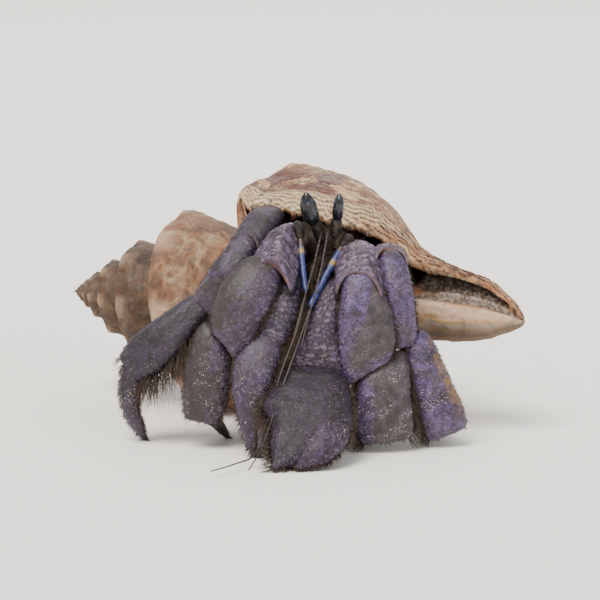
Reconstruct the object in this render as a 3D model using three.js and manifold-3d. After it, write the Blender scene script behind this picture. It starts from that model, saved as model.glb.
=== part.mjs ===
// A land hermit crab looking out of a horse conch shell, life size, as a still museum model.
// Millimetres, +Z up. The crab faces -Y, and the shell's spire points to -X and its canal to +X.
// Each plate of the crab's armour is a solid of its own, with a thin gap to its neighbours.
import * as THREE from "three";
import { mergeVertices } from "three/addons/utils/BufferGeometryUtils.js";
import Module from "manifold-3d";

const wasm = await Module();
wasm.setup();

// ---- Driving dimensions -------------------------------------------------------------------

const GAP = 0.3; // clearance between neighbouring plates
const FEELER = 0.3; // least half-thickness of a feeler
// Middle of the model's box in the layout's own coordinates; the group is moved back by it.
const BOX_CENTRE = { x: -1.45, y: -18.46 };

const SHELL = {
  apex: [-47.8, 21, 21.7],
  yaw: 25, // degrees that the canal swings towards the viewer
  pitch: 0.6, // degrees that the canal rises
  length: 102.3,
  growthAlong: 1.7, // size ratio from one whorl to the next, along the axis
  growthOut: 1.6, // and out from it
  wall: 1.8,
  knobs: 7, // shoulder knobs in one whorl
  knobHeight: 0.105, // as a share of the radius
  knobAt: -11, // the turn of one knob, in degrees
  shoulder: 49.6, // where the knobs sit on the whorl's profile
  knobWidth: 3, // its reach towards the spire
  knobTail: 4.8, // and towards the canal
};
// The last whorl's profile where it is at the top: distance along the axis, and out from it.
const WHORL_PROFILE = [
  [40.2, 17.6], [41, 23.2], [43.8, 25.8], [50, 27], [56, 28.5], [62, 27.8], [67, 25.9], [72.5, 22.3],
  [76, 18.4], [78.5, 15.2], [81, 12.9], [86, 10.5], [94, 8], [97.5, 5.6], [100.5, 3.1], [102.3, 0.6],
];

// Each limb segment: a path through the middle of the plate, half-widths and half-depths that are
// evenly spaced along it, and the direction that its outer face looks. A slant is how much further
// the far margin reaches at one side than in the middle, and a nearSlant is the same at the near end.
const LEG_PLATES = {
  leg2_left: {
    dactyl: {
      path: [[16.4, -36, 3.4], [14, -30, 3.2], [10.5, -24, -0.6]],
      width: [1.9, 1.7, 1.1, 0.5], depth: [1.8, 1.5, 1, 0.5], face: [0, -0.3, 1],
    },
    propodus: {
      path: [[16.3, -36, 18.6], [16.2, -38.6, 10.4], [16.9, -37.6, 2.2]],
      width: [3.8, 5.1, 5.5, 5.7, 5.4], depth: [2.4, 3.2, 3.3, 3, 2.4], face: [0.12, -1, 0.1],
      nearSlant: -2.6,
    },
    carpus: {
      path: [[11.2, -34.8, 36.4], [12.7, -38.2, 26.4], [13, -38.4, 16]],
      width: [2.9, 4.2, 5.4, 5.6, 4.8], depth: [2.4, 3.2, 3.5, 3.3, 2.8], face: [0.1, -1, 0.25],
      slant: 2.2,
    },
    merus: {
      path: [[9, -21, 33.5], [11.4, -29, 35], [11.4, -36.8, 31.4]],
      width: [3.2, 4.3, 4.9, 4.7], depth: [3.6, 5, 5.6, 4.8], face: [0, -0.35, 1],
      slant: -0.6,
    },
  },
  leg3_left: {
    dactyl: {
      path: [[28.4, -32, 4.6], [28.6, -26.6, 4.6], [27.4, -19.6, -0.6]],
      width: [1.9, 1.7, 1.1, 0.5], depth: [1.7, 1.5, 1, 0.5], face: [0, -0.3, 1],
    },
    propodus: {
      path: [[21.9, -33.4, 22.8], [25.6, -34.6, 12.6], [29, -33, 2.6]],
      width: [2.6, 3.4, 3.9, 4.4, 4.4], depth: [2.2, 2.9, 3, 2.8, 2.2], face: [0.2, -1, 0.15],
      nearSlant: -1.2,
    },
    carpus: {
      path: [[17.2, -31.6, 39], [19.1, -35.4, 30], [19.9, -34.8, 20.6]],
      width: [2.1, 2.8, 3, 2.9, 2.9], depth: [2.2, 2.8, 3, 2.9, 2.4], face: [0.25, -1, 0.3],
    },
    merus: {
      path: [[14, -21, 33.5], [17.2, -27, 35.8], [17.6, -32.4, 36.2]],
      width: [2.6, 3.4, 3.6, 3.4], depth: [2.8, 3.4, 3.6, 3.4], face: [0.2, -0.4, 1],
    },
  },
  leg2_right: {
    dactyl: {
      path: [[-18.6, -34.6, 7], [-17.2, -31, 5], [-14, -24.4, -0.6]],
      width: [2, 1.8, 1.2, 0.5], depth: [1.8, 1.6, 1.1, 0.5], face: [0, -0.4, 1],
    },
    propodus: {
      path: [[-16.4, -33.6, 24.4], [-17.8, -36, 15.8], [-19.2, -35.4, 5.6]],
      width: [2.4, 3.8, 4.4, 4.4, 3.6], depth: [2.2, 2.9, 3, 2.8, 2.2], face: [-0.25, -1, 0.1],
      nearSlant: 1.6,
    },
    carpus: {
      path: [[-5.6, -33, 37.6], [-10.8, -37.4, 29.8], [-14.6, -37.8, 21.4]],
      width: [3, 4.7, 5.3, 4.9, 3.4], depth: [2.4, 3.3, 3.5, 3, 2.4], face: [-0.25, -1, 0.25],
      slant: -1.2,
    },
    merus: {
      path: [[0.5, -20, 35], [-3.6, -28, 37], [-5.4, -35.8, 33]],
      width: [3, 4, 4.8, 4.8], depth: [3.6, 5, 5.4, 4.6], face: [-0.15, -0.35, 1],
      slant: -0.9,
    },
  },
  leg3_right: {
    dactyl: {
      path: [[-33, -29.6, 17], [-33.6, -31, 8], [-30.6, -27.6, -0.6]],
      width: [2.3, 2.1, 1.4, 0.55], depth: [2.1, 1.8, 1.2, 0.55], face: [-0.4, -1, 0.1],
    },
    propodus: {
      path: [[-17.6, -29, 29], [-26, -30.8, 21.4], [-33.8, -29.6, 14.6]],
      width: [2.4, 3.3, 4.1, 4.4, 3.6], depth: [2.2, 2.8, 3, 2.8, 2.4], face: [-0.3, -1, 0.45],
    },
    carpus: {
      path: [[-9, -27, 41.4], [-14, -30.4, 34.4], [-18.6, -30.4, 27.2]],
      width: [2.1, 2.7, 3, 3, 2.8], depth: [2.2, 2.8, 3, 2.8, 2.4], face: [-0.3, -1, 0.35],
    },
    merus: {
      path: [[-4, -13, 42], [-6.8, -21.5, 43], [-10.4, -28.2, 39]],
      width: [2.6, 3, 3.4, 3.3], depth: [2.4, 3, 3.2, 3], face: [-0.3, -0.8, 0.8],
    },
  },
};

// The left claw is the large one, as in all land hermit crabs; each has a fixed finger on the palm.
const CLAW_PLATES = {
  claw_left: {
    finger: {
      path: [[5.8, -46.8, 7.4], [5.4, -51.8, 5.2], [-0.6, -56.4, 0.6]],
      width: [3.2, 3.8, 3.2, 1.2], depth: [2.8, 3.2, 2.6, 1], face: [0.3, -0.8, 0.8],
    },
    palm: {
      path: [[3.4, -38.4, 16.4], [2.1, -43.8, 10.4], [0.8, -49.4, 5.6]],
      width: [4.4, 6.2, 8, 9.2, 7.2], depth: [3.4, 4.8, 5.4, 5.2, 4], face: [0, -0.8, 0.6],
    },
    fixed_finger: {
      path: [[-3, -47.8, 5.4], [-4.6, -52, 4], [-5.4, -56.6, 0.4]],
      width: [4, 3.8, 3, 1.1], depth: [3.4, 3.2, 2.4, 1], face: [-0.2, -0.8, 0.8],
    },
    carpus: {
      path: [[6.8, -31.6, 33.8], [4.6, -37, 23.8], [3.6, -39, 14.4]],
      width: [1.8, 2.8, 3.6, 4.7, 5.3], depth: [2.2, 3, 3.5, 3.8, 3.4], face: [-0.1, -1, 0.3],
      slant: -0.8,
    },
    merus: {
      path: [[5, -22, 29], [5.6, -27, 30.5], [6.2, -31.6, 30]],
      width: [3, 3.6, 3.6, 3], depth: [3, 3.8, 3.8, 3], face: [0, -0.3, 1],
    },
  },
  claw_right: {
    finger: {
      path: [[-7.2, -42, 12], [-6.6, -43.8, 7.4], [-8.2, -44.4, 1.6]],
      width: [1.5, 1.8, 1.5, 0.6], depth: [1.7, 1.8, 1.4, 0.6], face: [0.3, -1, 0.2],
    },
    palm: {
      path: [[-6.4, -36.4, 23.6], [-8.9, -40.2, 16.4], [-9.6, -42, 10.2]],
      width: [3.2, 4.1, 4, 3.6, 2.8], depth: [2.4, 3, 3.2, 3, 2.4], face: [-0.1, -1, 0.3],
    },
    fixed_finger: {
      path: [[-10.4, -41.4, 11.6], [-10.6, -42.8, 6.8], [-8.8, -43.8, -0.6]],
      width: [1.9, 2, 1.6, 0.6], depth: [2.1, 2, 1.5, 0.6], face: [-0.3, -1, 0.2],
    },
    carpus: {
      path: [[-1.2, -30.6, 35.6], [-3.7, -35.2, 28.6], [-6.3, -37.2, 22.4]],
      width: [1.8, 2.8, 3.4, 3.8, 3.7], depth: [2, 2.6, 3, 3, 2.6], face: [-0.1, -1, 0.3],
    },
    merus: {
      path: [[3, -22, 30.5], [0.6, -26, 32], [-1, -30, 31.6]],
      width: [2.6, 3, 3, 2.6], depth: [2.8, 3.4, 3.4, 2.8], face: [0, -0.3, 1],
    },
  },
};

const HEAD_PARTS = {
  cornea_right: {
    path: [[2.9, -28.8, 43.4], [1.8, -30.4, 46.9], [1.1, -31, 50.4]],
    width: [1.3, 1.75, 1.65, 0.9], depth: [1.1, 1.4, 1.3, 0.8], face: [-0.3, -1, 0.2],
  },
  cornea_left: {
    path: [[7.2, -28.8, 44.4], [7.5, -30.3, 47.2], [7.7, -30.8, 49.9]],
    width: [0.9, 1.1, 1.05, 0.6], depth: [1.1, 1.45, 1.35, 0.7], face: [0.3, -1, 0.2],
  },
  eyestalk_right: {
    path: [[4.2, -25.8, 39.6], [3.5, -27.6, 42.6], [2.6, -29.3, 45.4]],
    width: [1.1, 1.2, 1.25, 1.1], depth: [1.1, 1.2, 1.1, 0.9], face: [-0.3, -1, 0.2],
  },
  eyestalk_left: {
    path: [[6.8, -26.6, 40.6], [7, -28, 43], [7.4, -29.4, 45.6]],
    width: [1, 1.1, 1.1, 0.9], depth: [1.1, 1.2, 1.2, 1], face: [0.3, -1, 0.2],
  },
  antenna_base_right: {
    path: [[-0.8, -26, 43.6], [-0.2, -28.2, 42.4], [0.1, -29.6, 40.8]],
    width: [0.9, 1, 0.85], depth: [0.9, 1, 0.85], face: [0, -1, 0.2],
  },
  antenna_base_left: {
    path: [[10, -26.6, 41], [9.1, -28.8, 40.2], [8.2, -30.4, 39.2]],
    width: [0.95, 1.05, 0.9], depth: [0.95, 1.05, 0.9], face: [0, -1, 0.2],
  },
  antenna_stalk_right: {
    path: [[0.1, -29.6, 41], [0.4, -32.4, 37], [1.2, -36, 31.4]],
    width: [0.62, 0.62, 0.58, 0.55], depth: [0.62, 0.62, 0.58, 0.55], face: [0, -1, 0.2],
  },
  antenna_stalk_left: {
    path: [[8.3, -30.4, 39.4], [5.6, -33.6, 35.2], [1.9, -38, 28.8]],
    width: [0.7, 0.72, 0.7, 0.62], depth: [0.7, 0.72, 0.7, 0.62], face: [0, -1, 0.2],
  },
  antenna_whip_right: {
    path: [
      [1.2, -36.3, 31], [-0.6, -39.6, 24.6], [-3.6, -43.6, 17], [-6.2, -47.4, 9],
      [-8.6, -52, 2.6], [-12.6, -57, 1.7], [-17, -61.4, 1.3],
    ],
    width: [0.34, 0.3, 0.3, 0.28], depth: [0.34, 0.3, 0.3, 0.28], face: [0, -1, 0.2],
  },
  antenna_whip_left: {
    path: [
      [1.9, -38.4, 28.4], [-0.2, -41.4, 22.6], [-2.8, -45.2, 16], [-5.2, -50, 9.6],
      [-7.4, -56.8, 4.6], [-9.8, -62, 1.6],
    ],
    width: [0.34, 0.3, 0.3, 0.28], depth: [0.34, 0.3, 0.3, 0.28], face: [0, -1, 0.2],
  },
  antennule_right: {
    path: [[4.3, -28, 42.2], [2.6, -34, 36], [0.3, -40.4, 29], [-1.2, -43, 24]],
    width: [0.42, 0.36, 0.36, 0.3], depth: [0.42, 0.36, 0.36, 0.3], face: [0, -1, 0.2],
  },
  antennule_left: {
    path: [[5.5, -28.2, 42], [4.1, -34.6, 35.8], [1.7, -41.2, 27.4], [0.2, -44, 22]],
    width: [0.42, 0.36, 0.36, 0.3], depth: [0.42, 0.36, 0.36, 0.3], face: [0, -1, 0.2],
  },
  maxilliped_right: {
    path: [[3.6, -26, 36], [2.4, -30, 33], [2.2, -32, 27.4]],
    width: [1.1, 1.4, 1.2, 0.7], depth: [1.1, 1.4, 1.2, 0.7], face: [0, -1, 0.2],
  },
  maxilliped_left: {
    path: [[6.4, -26, 35.6], [5.2, -30, 36.4], [3.9, -32.4, 33.4]],
    width: [1, 1.1, 1, 0.7], depth: [1, 1.1, 1, 0.7], face: [0, -1, 0.2],
  },
};

const CARAPACE = {
  path: [[2, -12, 40], [3.8, -19.5, 38.4], [5.2, -26.6, 36.6]],
  width: [5.4, 7, 6.8, 4.4], depth: [4.4, 5.2, 4.8, 3.8], face: [0, -0.3, 1],
};

// The small fourth and fifth legs, which brace the crab inside the shell's mouth.
const BRACE_LEGS = {
  leg4_left: {
    path: [[10, -17.6, 35.6], [13.6, -18.4, 32], [13.8, -18.6, 27.4]],
    width: [1.3, 1.5, 1.4, 1], depth: [1.2, 1.4, 1.3, 0.9], face: [0.3, -1, 0],
  },
  leg4_right: {
    path: [[-1.6, -15.4, 37], [-5, -15.6, 34], [-6.2, -16.4, 29.6]],
    width: [1.3, 1.5, 1.4, 1], depth: [1.2, 1.4, 1.3, 0.9], face: [-0.3, -1, 0],
  },
  leg5_left: {
    path: [[6.4, -14.6, 37], [10, -13, 37.4], [13.2, -12.4, 38.2]],
    width: [1, 1.1, 1, 0.8], depth: [1, 1.1, 1, 0.8], face: [0, 0, 1],
  },
  leg5_right: {
    path: [[-1.6, -14.4, 38.6], [-5, -12.8, 39], [-8.2, -12.4, 40]],
    width: [1, 1.1, 1, 0.8], depth: [1, 1.1, 1, 0.8], face: [0, 0, 1],
  },
};

// The soft abdomen: from the carapace to its tip, as turns of the shell, in a few lengths.
const ABDOMEN = { from: 24, to: -232, lengths: ["front", "middle", "rear", "tip"] };

const COLOURS = {
  shell: 0xa9825f,
  plate: 0x6d6080,
  merus: 0x77697f,
  flesh: 0x7d5a52,
  cornea: 0x20242a,
  eyestalk: 0x4a4448,
  antenna: 0x4a56a8,
  whip: 0x4a3a34,
};

// ---- Helpers ------------------------------------------------------------------------------

const radians = THREE.MathUtils.degToRad;
const smooth = (low, high, x) => THREE.MathUtils.smoothstep(x, low, high);
const vector = (p) => new THREE.Vector3(...p);

// A geometry as a solid that can be cut.
function toSolid(geometry) {
  const bare = geometry.clone();
  bare.deleteAttribute("normal");
  bare.deleteAttribute("uv");
  const merged = mergeVertices(bare, 1e-4);
  return new wasm.Manifold(new wasm.Mesh({
    numProp: 3,
    vertProperties: new Float32Array(merged.attributes.position.array),
    triVerts: new Uint32Array(merged.index.array),
  }));
}

function toGeometry(solid) {
  const mesh = solid.getMesh();
  const geometry = new THREE.BufferGeometry();
  geometry.setAttribute("position", new THREE.BufferAttribute(new Float32Array(mesh.vertProperties), 3));
  geometry.setIndex(new THREE.BufferAttribute(new Uint32Array(mesh.triVerts), 1));
  geometry.computeVertexNormals();
  return geometry;
}

// A closed skin over rings of points, with a pole at each end.
function skinOverRings(rings, startPole, endPole) {
  const sides = rings[0].length;
  const points = [startPole, ...rings.flat(), endPole];
  const last = points.length - 1;
  const at = (ring, side) => 1 + ring * sides + (side % sides);
  const faces = [];
  for (let side = 0; side < sides; side++) {
    faces.push(0, at(0, side + 1), at(0, side));
    faces.push(last, at(rings.length - 1, side), at(rings.length - 1, side + 1));
    for (let ring = 0; ring < rings.length - 1; ring++) {
      const [a, b] = [at(ring, side), at(ring, side + 1)];
      const [c, d] = [at(ring + 1, side), at(ring + 1, side + 1)];
      faces.push(a, b, c, b, d, c);
    }
  }
  const geometry = new THREE.BufferGeometry().setFromPoints(points);
  geometry.setIndex(faces);
  return geometry;
}

function middleOf(ring) {
  return ring.reduce((sum, point) => sum.add(point), new THREE.Vector3()).divideScalar(ring.length);
}

// Evenly spaced values, read smoothly at any share t of the way.
function readAlong(values, t) {
  const place = t * (values.length - 1);
  const index = Math.min(Math.floor(place), values.length - 2);
  const share = place - index;
  return THREE.MathUtils.lerp(values[index], values[index + 1], (smooth(0, 1, share) + share) / 2);
}

// A plate or feeler: round-ended, with a slightly boxy oval section.
function limbGeometry(plate, grow, rings, sides, cap) {
  const { path, width, depth, face, slant = 0, nearSlant = 0 } = plate;
  const curve = new THREE.CatmullRomCurve3(path.map(vector), false, "centripetal");
  const outward = vector(face).normalize();
  const boxy = 0.86;
  const power = (x) => Math.sign(x) * Math.abs(x) ** boxy;
  const skin = [];
  for (let ring = 1; ring < rings; ring++) {
    const t = (1 - Math.cos((Math.PI * ring) / rings)) / 2;
    const nearest = Math.min(t, 1 - t);
    const round = nearest < cap ? Math.sqrt(1 - (1 - nearest / cap) ** 2) : 1;
    const along = curve.getTangent(t);
    const across = new THREE.Vector3().crossVectors(along, outward).normalize();
    const out = new THREE.Vector3().crossVectors(across, along).normalize();
    const centre = curve.getPoint(t).addScaledVector(along, grow * (2 * t - 1));
    const oblique = slant * smooth(0.4, 1, t) - nearSlant * (1 - smooth(0, 0.55, t)) * round;
    skin.push(Array.from({ length: sides }, (_, side) => {
      const angle = (2 * Math.PI * side) / sides;
      return centre.clone()
        .addScaledVector(along, oblique * power(Math.cos(angle)))
        .addScaledVector(across, power(Math.cos(angle)) * (readAlong(width, t) * round + grow))
        .addScaledVector(out, power(Math.sin(angle)) * (readAlong(depth, t) * round + grow));
    }));
  }
  const start = curve.getPoint(0).addScaledVector(curve.getTangent(0), -grow);
  const end = curve.getPoint(1).addScaledVector(curve.getTangent(1), grow);
  return skinOverRings(skin, start, end);
}

// ---- Shell --------------------------------------------------------------------------------

const WHORL_CURVE = new THREE.SplineCurve(WHORL_PROFILE.map(([a, r]) => new THREE.Vector2(a, r)));
const SHELL_AXIS = new THREE.Vector3(
  Math.cos(radians(SHELL.yaw)) * Math.cos(radians(SHELL.pitch)),
  -Math.sin(radians(SHELL.yaw)) * Math.cos(radians(SHELL.pitch)),
  Math.sin(radians(SHELL.pitch)),
);
const SHELL_FRONT = new THREE.Vector3(-Math.sin(radians(SHELL.yaw)), -Math.cos(radians(SHELL.yaw)), 0);
const SHELL_UP = new THREE.Vector3().crossVectors(SHELL_FRONT, SHELL_AXIS);

// A point of the shell's space: along the axis, out from it, and the angle from straight up to the front.
function shellPoint(along, out, angle) {
  return vector(SHELL.apex)
    .addScaledVector(SHELL_AXIS, along)
    .addScaledVector(SHELL_UP, out * Math.cos(radians(angle)))
    .addScaledVector(SHELL_FRONT, out * Math.sin(radians(angle)));
}

// The turn at which the outer lip ends, for a place on the whorl's profile.
function lipTurn(along) {
  return 18 + 22 * smooth(39, 50, along) - 8 * smooth(64, 76, along) - 18 * smooth(74, 86, along);
}

// How much of the radius is solid behind the canal's slot and inside the hollow.
function coreShare(along) {
  return 0.28 + 0.22 * smooth(76, 88, along);
}

// The whorl's outer surface: share s of the profile, and the turn, which is 0 at the top of the
// last whorl, falls towards the apex and ends at the lip.
function whorlPoint(s, turn) {
  const { x: along, y: out } = WHORL_CURVE.getPoint(s);
  const late = smooth(-400, -335, turn);
  // Earlier whorls carry their shoulder nearer to the suture.
  const raised = 6.5 * smooth(37, 50, along) * (1 - smooth(58, 74, along)) * (1 - smooth(-330, -90, turn));
  // The canal is one off-centre tube all the way round, open at its slot.
  const offCentre = 0.58 - 0.18 * smooth(80, 92, along);
  const tube = (1 + offCentre * Math.cos(radians(turn - 20))) / (1 + offCentre * Math.cos(radians(20)));
  const slot = 1 - (1 - coreShare(along)) * (1 - smooth(-334, -308, turn - lipTurn(along)));
  const widening = SHELL.growthOut ** (turn / 360);
  const size = THREE.MathUtils.lerp(widening, tube * slot, late * smooth(54, 82, along));
  const stretch = THREE.MathUtils.lerp(SHELL.growthAlong ** (turn / 360), 1, late * smooth(54, 96, along));
  const reach = along < SHELL.shoulder ? SHELL.knobWidth : SHELL.knobTail;
  const knob = Math.max(0, Math.cos(radians(SHELL.knobs * (turn - SHELL.knobAt))))
    * Math.exp(-(((along - SHELL.shoulder) / reach) ** 2));
  return { along: (along - raised) * stretch, out: out * size * (1 + SHELL.knobHeight * knob) };
}

// Radius of the outer surface at one turn and a place along the axis, or 0 beyond its ends.
function whorlRadius(along, turn, samples = 48) {
  let before = whorlPoint(0, turn);
  if (along < before.along) return 0;
  for (let i = 1; i <= samples; i++) {
    const here = whorlPoint(i / samples, turn);
    if (here.along >= along) {
      const share = (along - before.along) / (here.along - before.along);
      return THREE.MathUtils.lerp(before.out, here.out, share);
    }
    before = here;
  }
  return 0;
}

// Radius over the axis of all that is wound on it by a turn.
function woundRadius(along, turn) {
  const nucleus = 0.5 * Math.sqrt(Math.max(0, Math.min(along, 6 - along)));
  return Math.max(nucleus, ...[0, 1, 2, 3, 4, 5, 6].map((n) => whorlRadius(along, turn - 360 * n)));
}

// The shell as if it were filled up, with a step where the lip ends.
function filledShell(stations = 32, columns = 26) {
  const points = [shellPoint(0, 0, 0)];
  const grid = [];
  for (let i = 1; i < stations; i++) {
    // Closer together on the spire and shoulder than on the canal.
    const share = i / stations;
    const along = SHELL.length * share * (0.55 + 0.45 * share ** 2);
    const lip = lipTurn(along / SHELL.growthAlong ** (30 / 360));
    grid.push(Array.from({ length: columns + 1 }, (_, j) => {
      const turn = lip - 360 + (360 * j) / columns;
      points.push(shellPoint(along, woundRadius(along, turn), turn));
      return points.length - 1;
    }));
  }
  points.push(shellPoint(SHELL.length, 0, 0));
  const tip = points.length - 1;
  const faces = [];
  for (let j = 0; j <= columns; j++) {
    const next = j === columns ? 0 : j + 1;
    faces.push(0, grid[0][next], grid[0][j], tip, grid.at(-1)[j], grid.at(-1)[next]);
    for (let i = 0; i < grid.length - 1; i++) {
      const [a, b, c, d] = [grid[i][j], grid[i + 1][j], grid[i + 1][next], grid[i][next]];
      faces.push(a, c, b, a, d, c);
    }
  }
  const geometry = new THREE.BufferGeometry().setFromPoints(points);
  geometry.setIndex(faces);
  return geometry;
}

// The hollow of the last whorl: a tube that follows it in from the mouth and narrows.
function hollow(grow = 0, sections = 12, across = 10) {
  const rings = [];
  for (let i = 0; i < sections; i++) {
    const back = THREE.MathUtils.lerp(14, -290, i / (sections - 1));
    const outer = [];
    const inner = [];
    for (let j = 0; j <= across; j++) {
      const s = THREE.MathUtils.lerp(0.09, 0.9, j / across);
      const lip = lipTurn(WHORL_CURVE.getPoint(s).x);
      const turn = lip + back;
      const { along, out } = whorlPoint(s, Math.min(turn, lip));
      const wall = Math.min(SHELL.wall, out * (0.24 - 0.12 * smooth(76, 88, along))) + grow;
      const floor = Math.max(whorlRadius(along, turn - 360), coreShare(along) * out) + 0.4 + grow;
      outer.push(shellPoint(along, Math.max(out - wall, floor + 0.3), turn));
      inner.push(shellPoint(along, floor, turn));
    }
    rings.push([...outer, ...inner.reverse()]);
  }
  return skinOverRings(rings, middleOf(rings[0]), middleOf(rings.at(-1)));
}

// ---- Soft body inside the shell -----------------------------------------------------------

// One length of the abdomen, which follows the hollow as an oval that keeps clear of both walls.
function abdomenGeometry(from, to, sections = 4, sides = 8) {
  const rings = [];
  for (let i = 0; i <= sections; i++) {
    const turn = THREE.MathUtils.lerp(from, to, i / sections);
    const share = (ABDOMEN.from - turn) / (ABDOMEN.from - ABDOMEN.to);
    const scale = SHELL.growthAlong ** (turn / 360);
    const centre = THREE.MathUtils.lerp(58, 55, share) * scale;
    const roof = whorlRadius(centre, turn) - SHELL.wall - 0.8;
    const floor = whorlRadius(centre, turn - 360) + 1.6;
    const taper = (1 - 0.45 * share) * (1 - 0.4 * Math.abs(2 * share - 1) ** 8);
    const halfHeight = 0.45 * (roof - floor) * taper;
    const halfLength = 8.5 * scale * taper;
    rings.push(Array.from({ length: sides }, (_, side) => {
      const angle = (2 * Math.PI * side) / sides;
      const along = centre + halfLength * Math.cos(angle);
      return shellPoint(along, (roof + floor) / 2 + halfHeight * Math.sin(angle), turn);
    }));
  }
  return skinOverRings(rings, middleOf(rings[0]), middleOf(rings.at(-1)));
}

// ---- Assembly -----------------------------------------------------------------------------

const group = new THREE.Group();
const placed = []; // what later pieces are cut by: { solid, box } of each piece, grown by the gap

const floorBox = new THREE.BoxGeometry(400, 400, 40).translate(0, 0, -20);
const belowFloor = toSolid(floorBox);

function boxOf(solid) {
  const { min, max } = solid.boundingBox();
  return new THREE.Box3(vector(min), vector(max));
}

function outwardSolid(geometry) {
  const solid = toSolid(geometry);
  if (solid.volume() > 0) return solid;
  const flipped = geometry.clone();
  flipped.setIndex(Array.from(geometry.index.array).reverse());
  return toSolid(flipped);
}

// Cuts a piece back from all that stands already, keeps its main body and adds it to the group.
function place(name, solid, grown, material) {
  let left = solid.subtract(belowFloor);
  const box = boxOf(left);
  placed.filter((other) => other.box.intersectsBox(box)).forEach((other) => {
    left = left.subtract(other.solid);
  });
  const bodies = left.decompose().sort((a, b) => b.volume() - a.volume());
  const mesh = new THREE.Mesh(toGeometry(bodies[0]), material);
  mesh.name = name;
  group.add(mesh);
  placed.push({ solid: grown, box: boxOf(grown) });
}

function finish(colour, roughness = 0.55) {
  return new THREE.MeshStandardMaterial({ color: colour, roughness, metalness: 0 });
}

function placeLimb(name, plate, material, detail = {}) {
  const { rings = 7, sides = 8, cap = 0.24 } = detail;
  const solid = outwardSolid(limbGeometry(plate, 0, rings, sides, cap));
  const grown = outwardSolid(limbGeometry(plate, GAP, rings, sides, cap));
  place(name, solid, grown, material);
}

const shellSolid = outwardSolid(filledShell()).subtract(outwardSolid(hollow()));
const shellClearance = outwardSolid(filledShell()).subtract(outwardSolid(hollow(GAP)));
place("shell", shellSolid, shellClearance, finish(COLOURS.shell, 0.6));

const feeler = (path) => ({ rings: 3 * path.length, sides: 5, cap: 0.03 });
for (const [name, part] of Object.entries(HEAD_PARTS)) {
  const colour = name.startsWith("cornea") ? COLOURS.cornea
    : name.startsWith("eyestalk") || name.startsWith("maxilliped") ? COLOURS.eyestalk
      : name.startsWith("antenna_stalk") ? COLOURS.antenna : COLOURS.whip;
  const thin = Math.max(...part.width) < 0.9;
  const detail = thin ? feeler(part.path) : { rings: 6, sides: 7, cap: 0.3 };
  placeLimb(name, part, finish(colour, name.startsWith("cornea") ? 0.15 : 0.5), detail);
}

for (const [limb, plates] of [...Object.entries(LEG_PLATES), ...Object.entries(CLAW_PLATES)]) {
  for (const [segment, plate] of Object.entries(plates)) {
    placeLimb(`${limb}_${segment}`, plate, finish(segment === "merus" ? COLOURS.merus : COLOURS.plate));
  }
}

placeLimb("carapace", CARAPACE, finish(COLOURS.flesh));
for (const [name, leg] of Object.entries(BRACE_LEGS)) {
  placeLimb(name, leg, finish(COLOURS.flesh), { rings: 6, sides: 7, cap: 0.24 });
}
ABDOMEN.lengths.forEach((name, i, { length }) => {
  const step = (ABDOMEN.to - ABDOMEN.from) / length;
  const start = ABDOMEN.from + step * i;
  const geometry = abdomenGeometry(start - 1, start + step);
  place(`abdomen_${name}`, outwardSolid(geometry), outwardSolid(geometry), finish(COLOURS.flesh));
});

group.position.set(-BOX_CENTRE.x, -BOX_CENTRE.y, 0);

export default group;
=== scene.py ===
"""A land hermit crab looking out of a horse conch shell, dressed as a life-size museum model.

Lengths are millimetres in the model's layout: the crab faces -Y, the shell's spire points to -X
and its canal to +X. to_frame() takes them to the frame's metres when a mesh is made.
"""
import sys
import logging
from dataclasses import dataclass, field
from enum import Enum

import bpy
import numpy as np
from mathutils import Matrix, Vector


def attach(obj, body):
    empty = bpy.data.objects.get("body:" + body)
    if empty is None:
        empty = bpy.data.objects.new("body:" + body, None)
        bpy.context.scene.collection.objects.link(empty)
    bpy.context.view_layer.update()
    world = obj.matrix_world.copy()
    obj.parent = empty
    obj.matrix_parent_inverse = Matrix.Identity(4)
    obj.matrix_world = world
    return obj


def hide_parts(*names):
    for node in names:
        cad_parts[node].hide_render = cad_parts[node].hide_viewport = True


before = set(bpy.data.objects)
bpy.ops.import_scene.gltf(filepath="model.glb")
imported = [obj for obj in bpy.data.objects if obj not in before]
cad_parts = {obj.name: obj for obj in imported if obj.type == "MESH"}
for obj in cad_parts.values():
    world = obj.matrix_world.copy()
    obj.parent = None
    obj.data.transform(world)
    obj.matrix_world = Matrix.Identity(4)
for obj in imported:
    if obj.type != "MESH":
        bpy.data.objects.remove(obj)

LOG = logging.getLogger("hermit_crab")
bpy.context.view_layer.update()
MM = 0.001
LAYOUT_CENTRE = np.array([-1.45, -18.46, 0.0])
BODY = "root"
Array = np.ndarray
Point = tuple[float, float, float]
Colour = tuple[int, int, int]
Socket = bpy.types.NodeSocket


# ---- Numbers and shapes --------------------------------------------------------------------


def to_frame(points: Array) -> Array:
    """Layout millimetres as metres in the frame."""
    return (np.asarray(points, float) - LAYOUT_CENTRE) * MM


def unit(vectors: Array) -> Array:
    """Vectors at length 1."""
    vectors = np.asarray(vectors, float)
    return vectors / np.maximum(np.linalg.norm(vectors, axis=-1, keepdims=True), 1e-12)


def smooth(low: float, high: float, x: Array) -> Array:
    """0 below low, 1 above high, and a soft step between."""
    t = np.clip((np.asarray(x, float) - low) / (high - low), 0, 1)
    return t * t * (3 - 2 * t)


def bell(x: Array, centre: float, width: float) -> Array:
    """A bell of height 1 round a centre."""
    return np.exp(-(((np.asarray(x, float) - centre) / width) ** 2))


def lerp(a: Array, b: Array, share: Array) -> Array:
    """The value a share of the way from a to b."""
    return a + (b - a) * share


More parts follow.
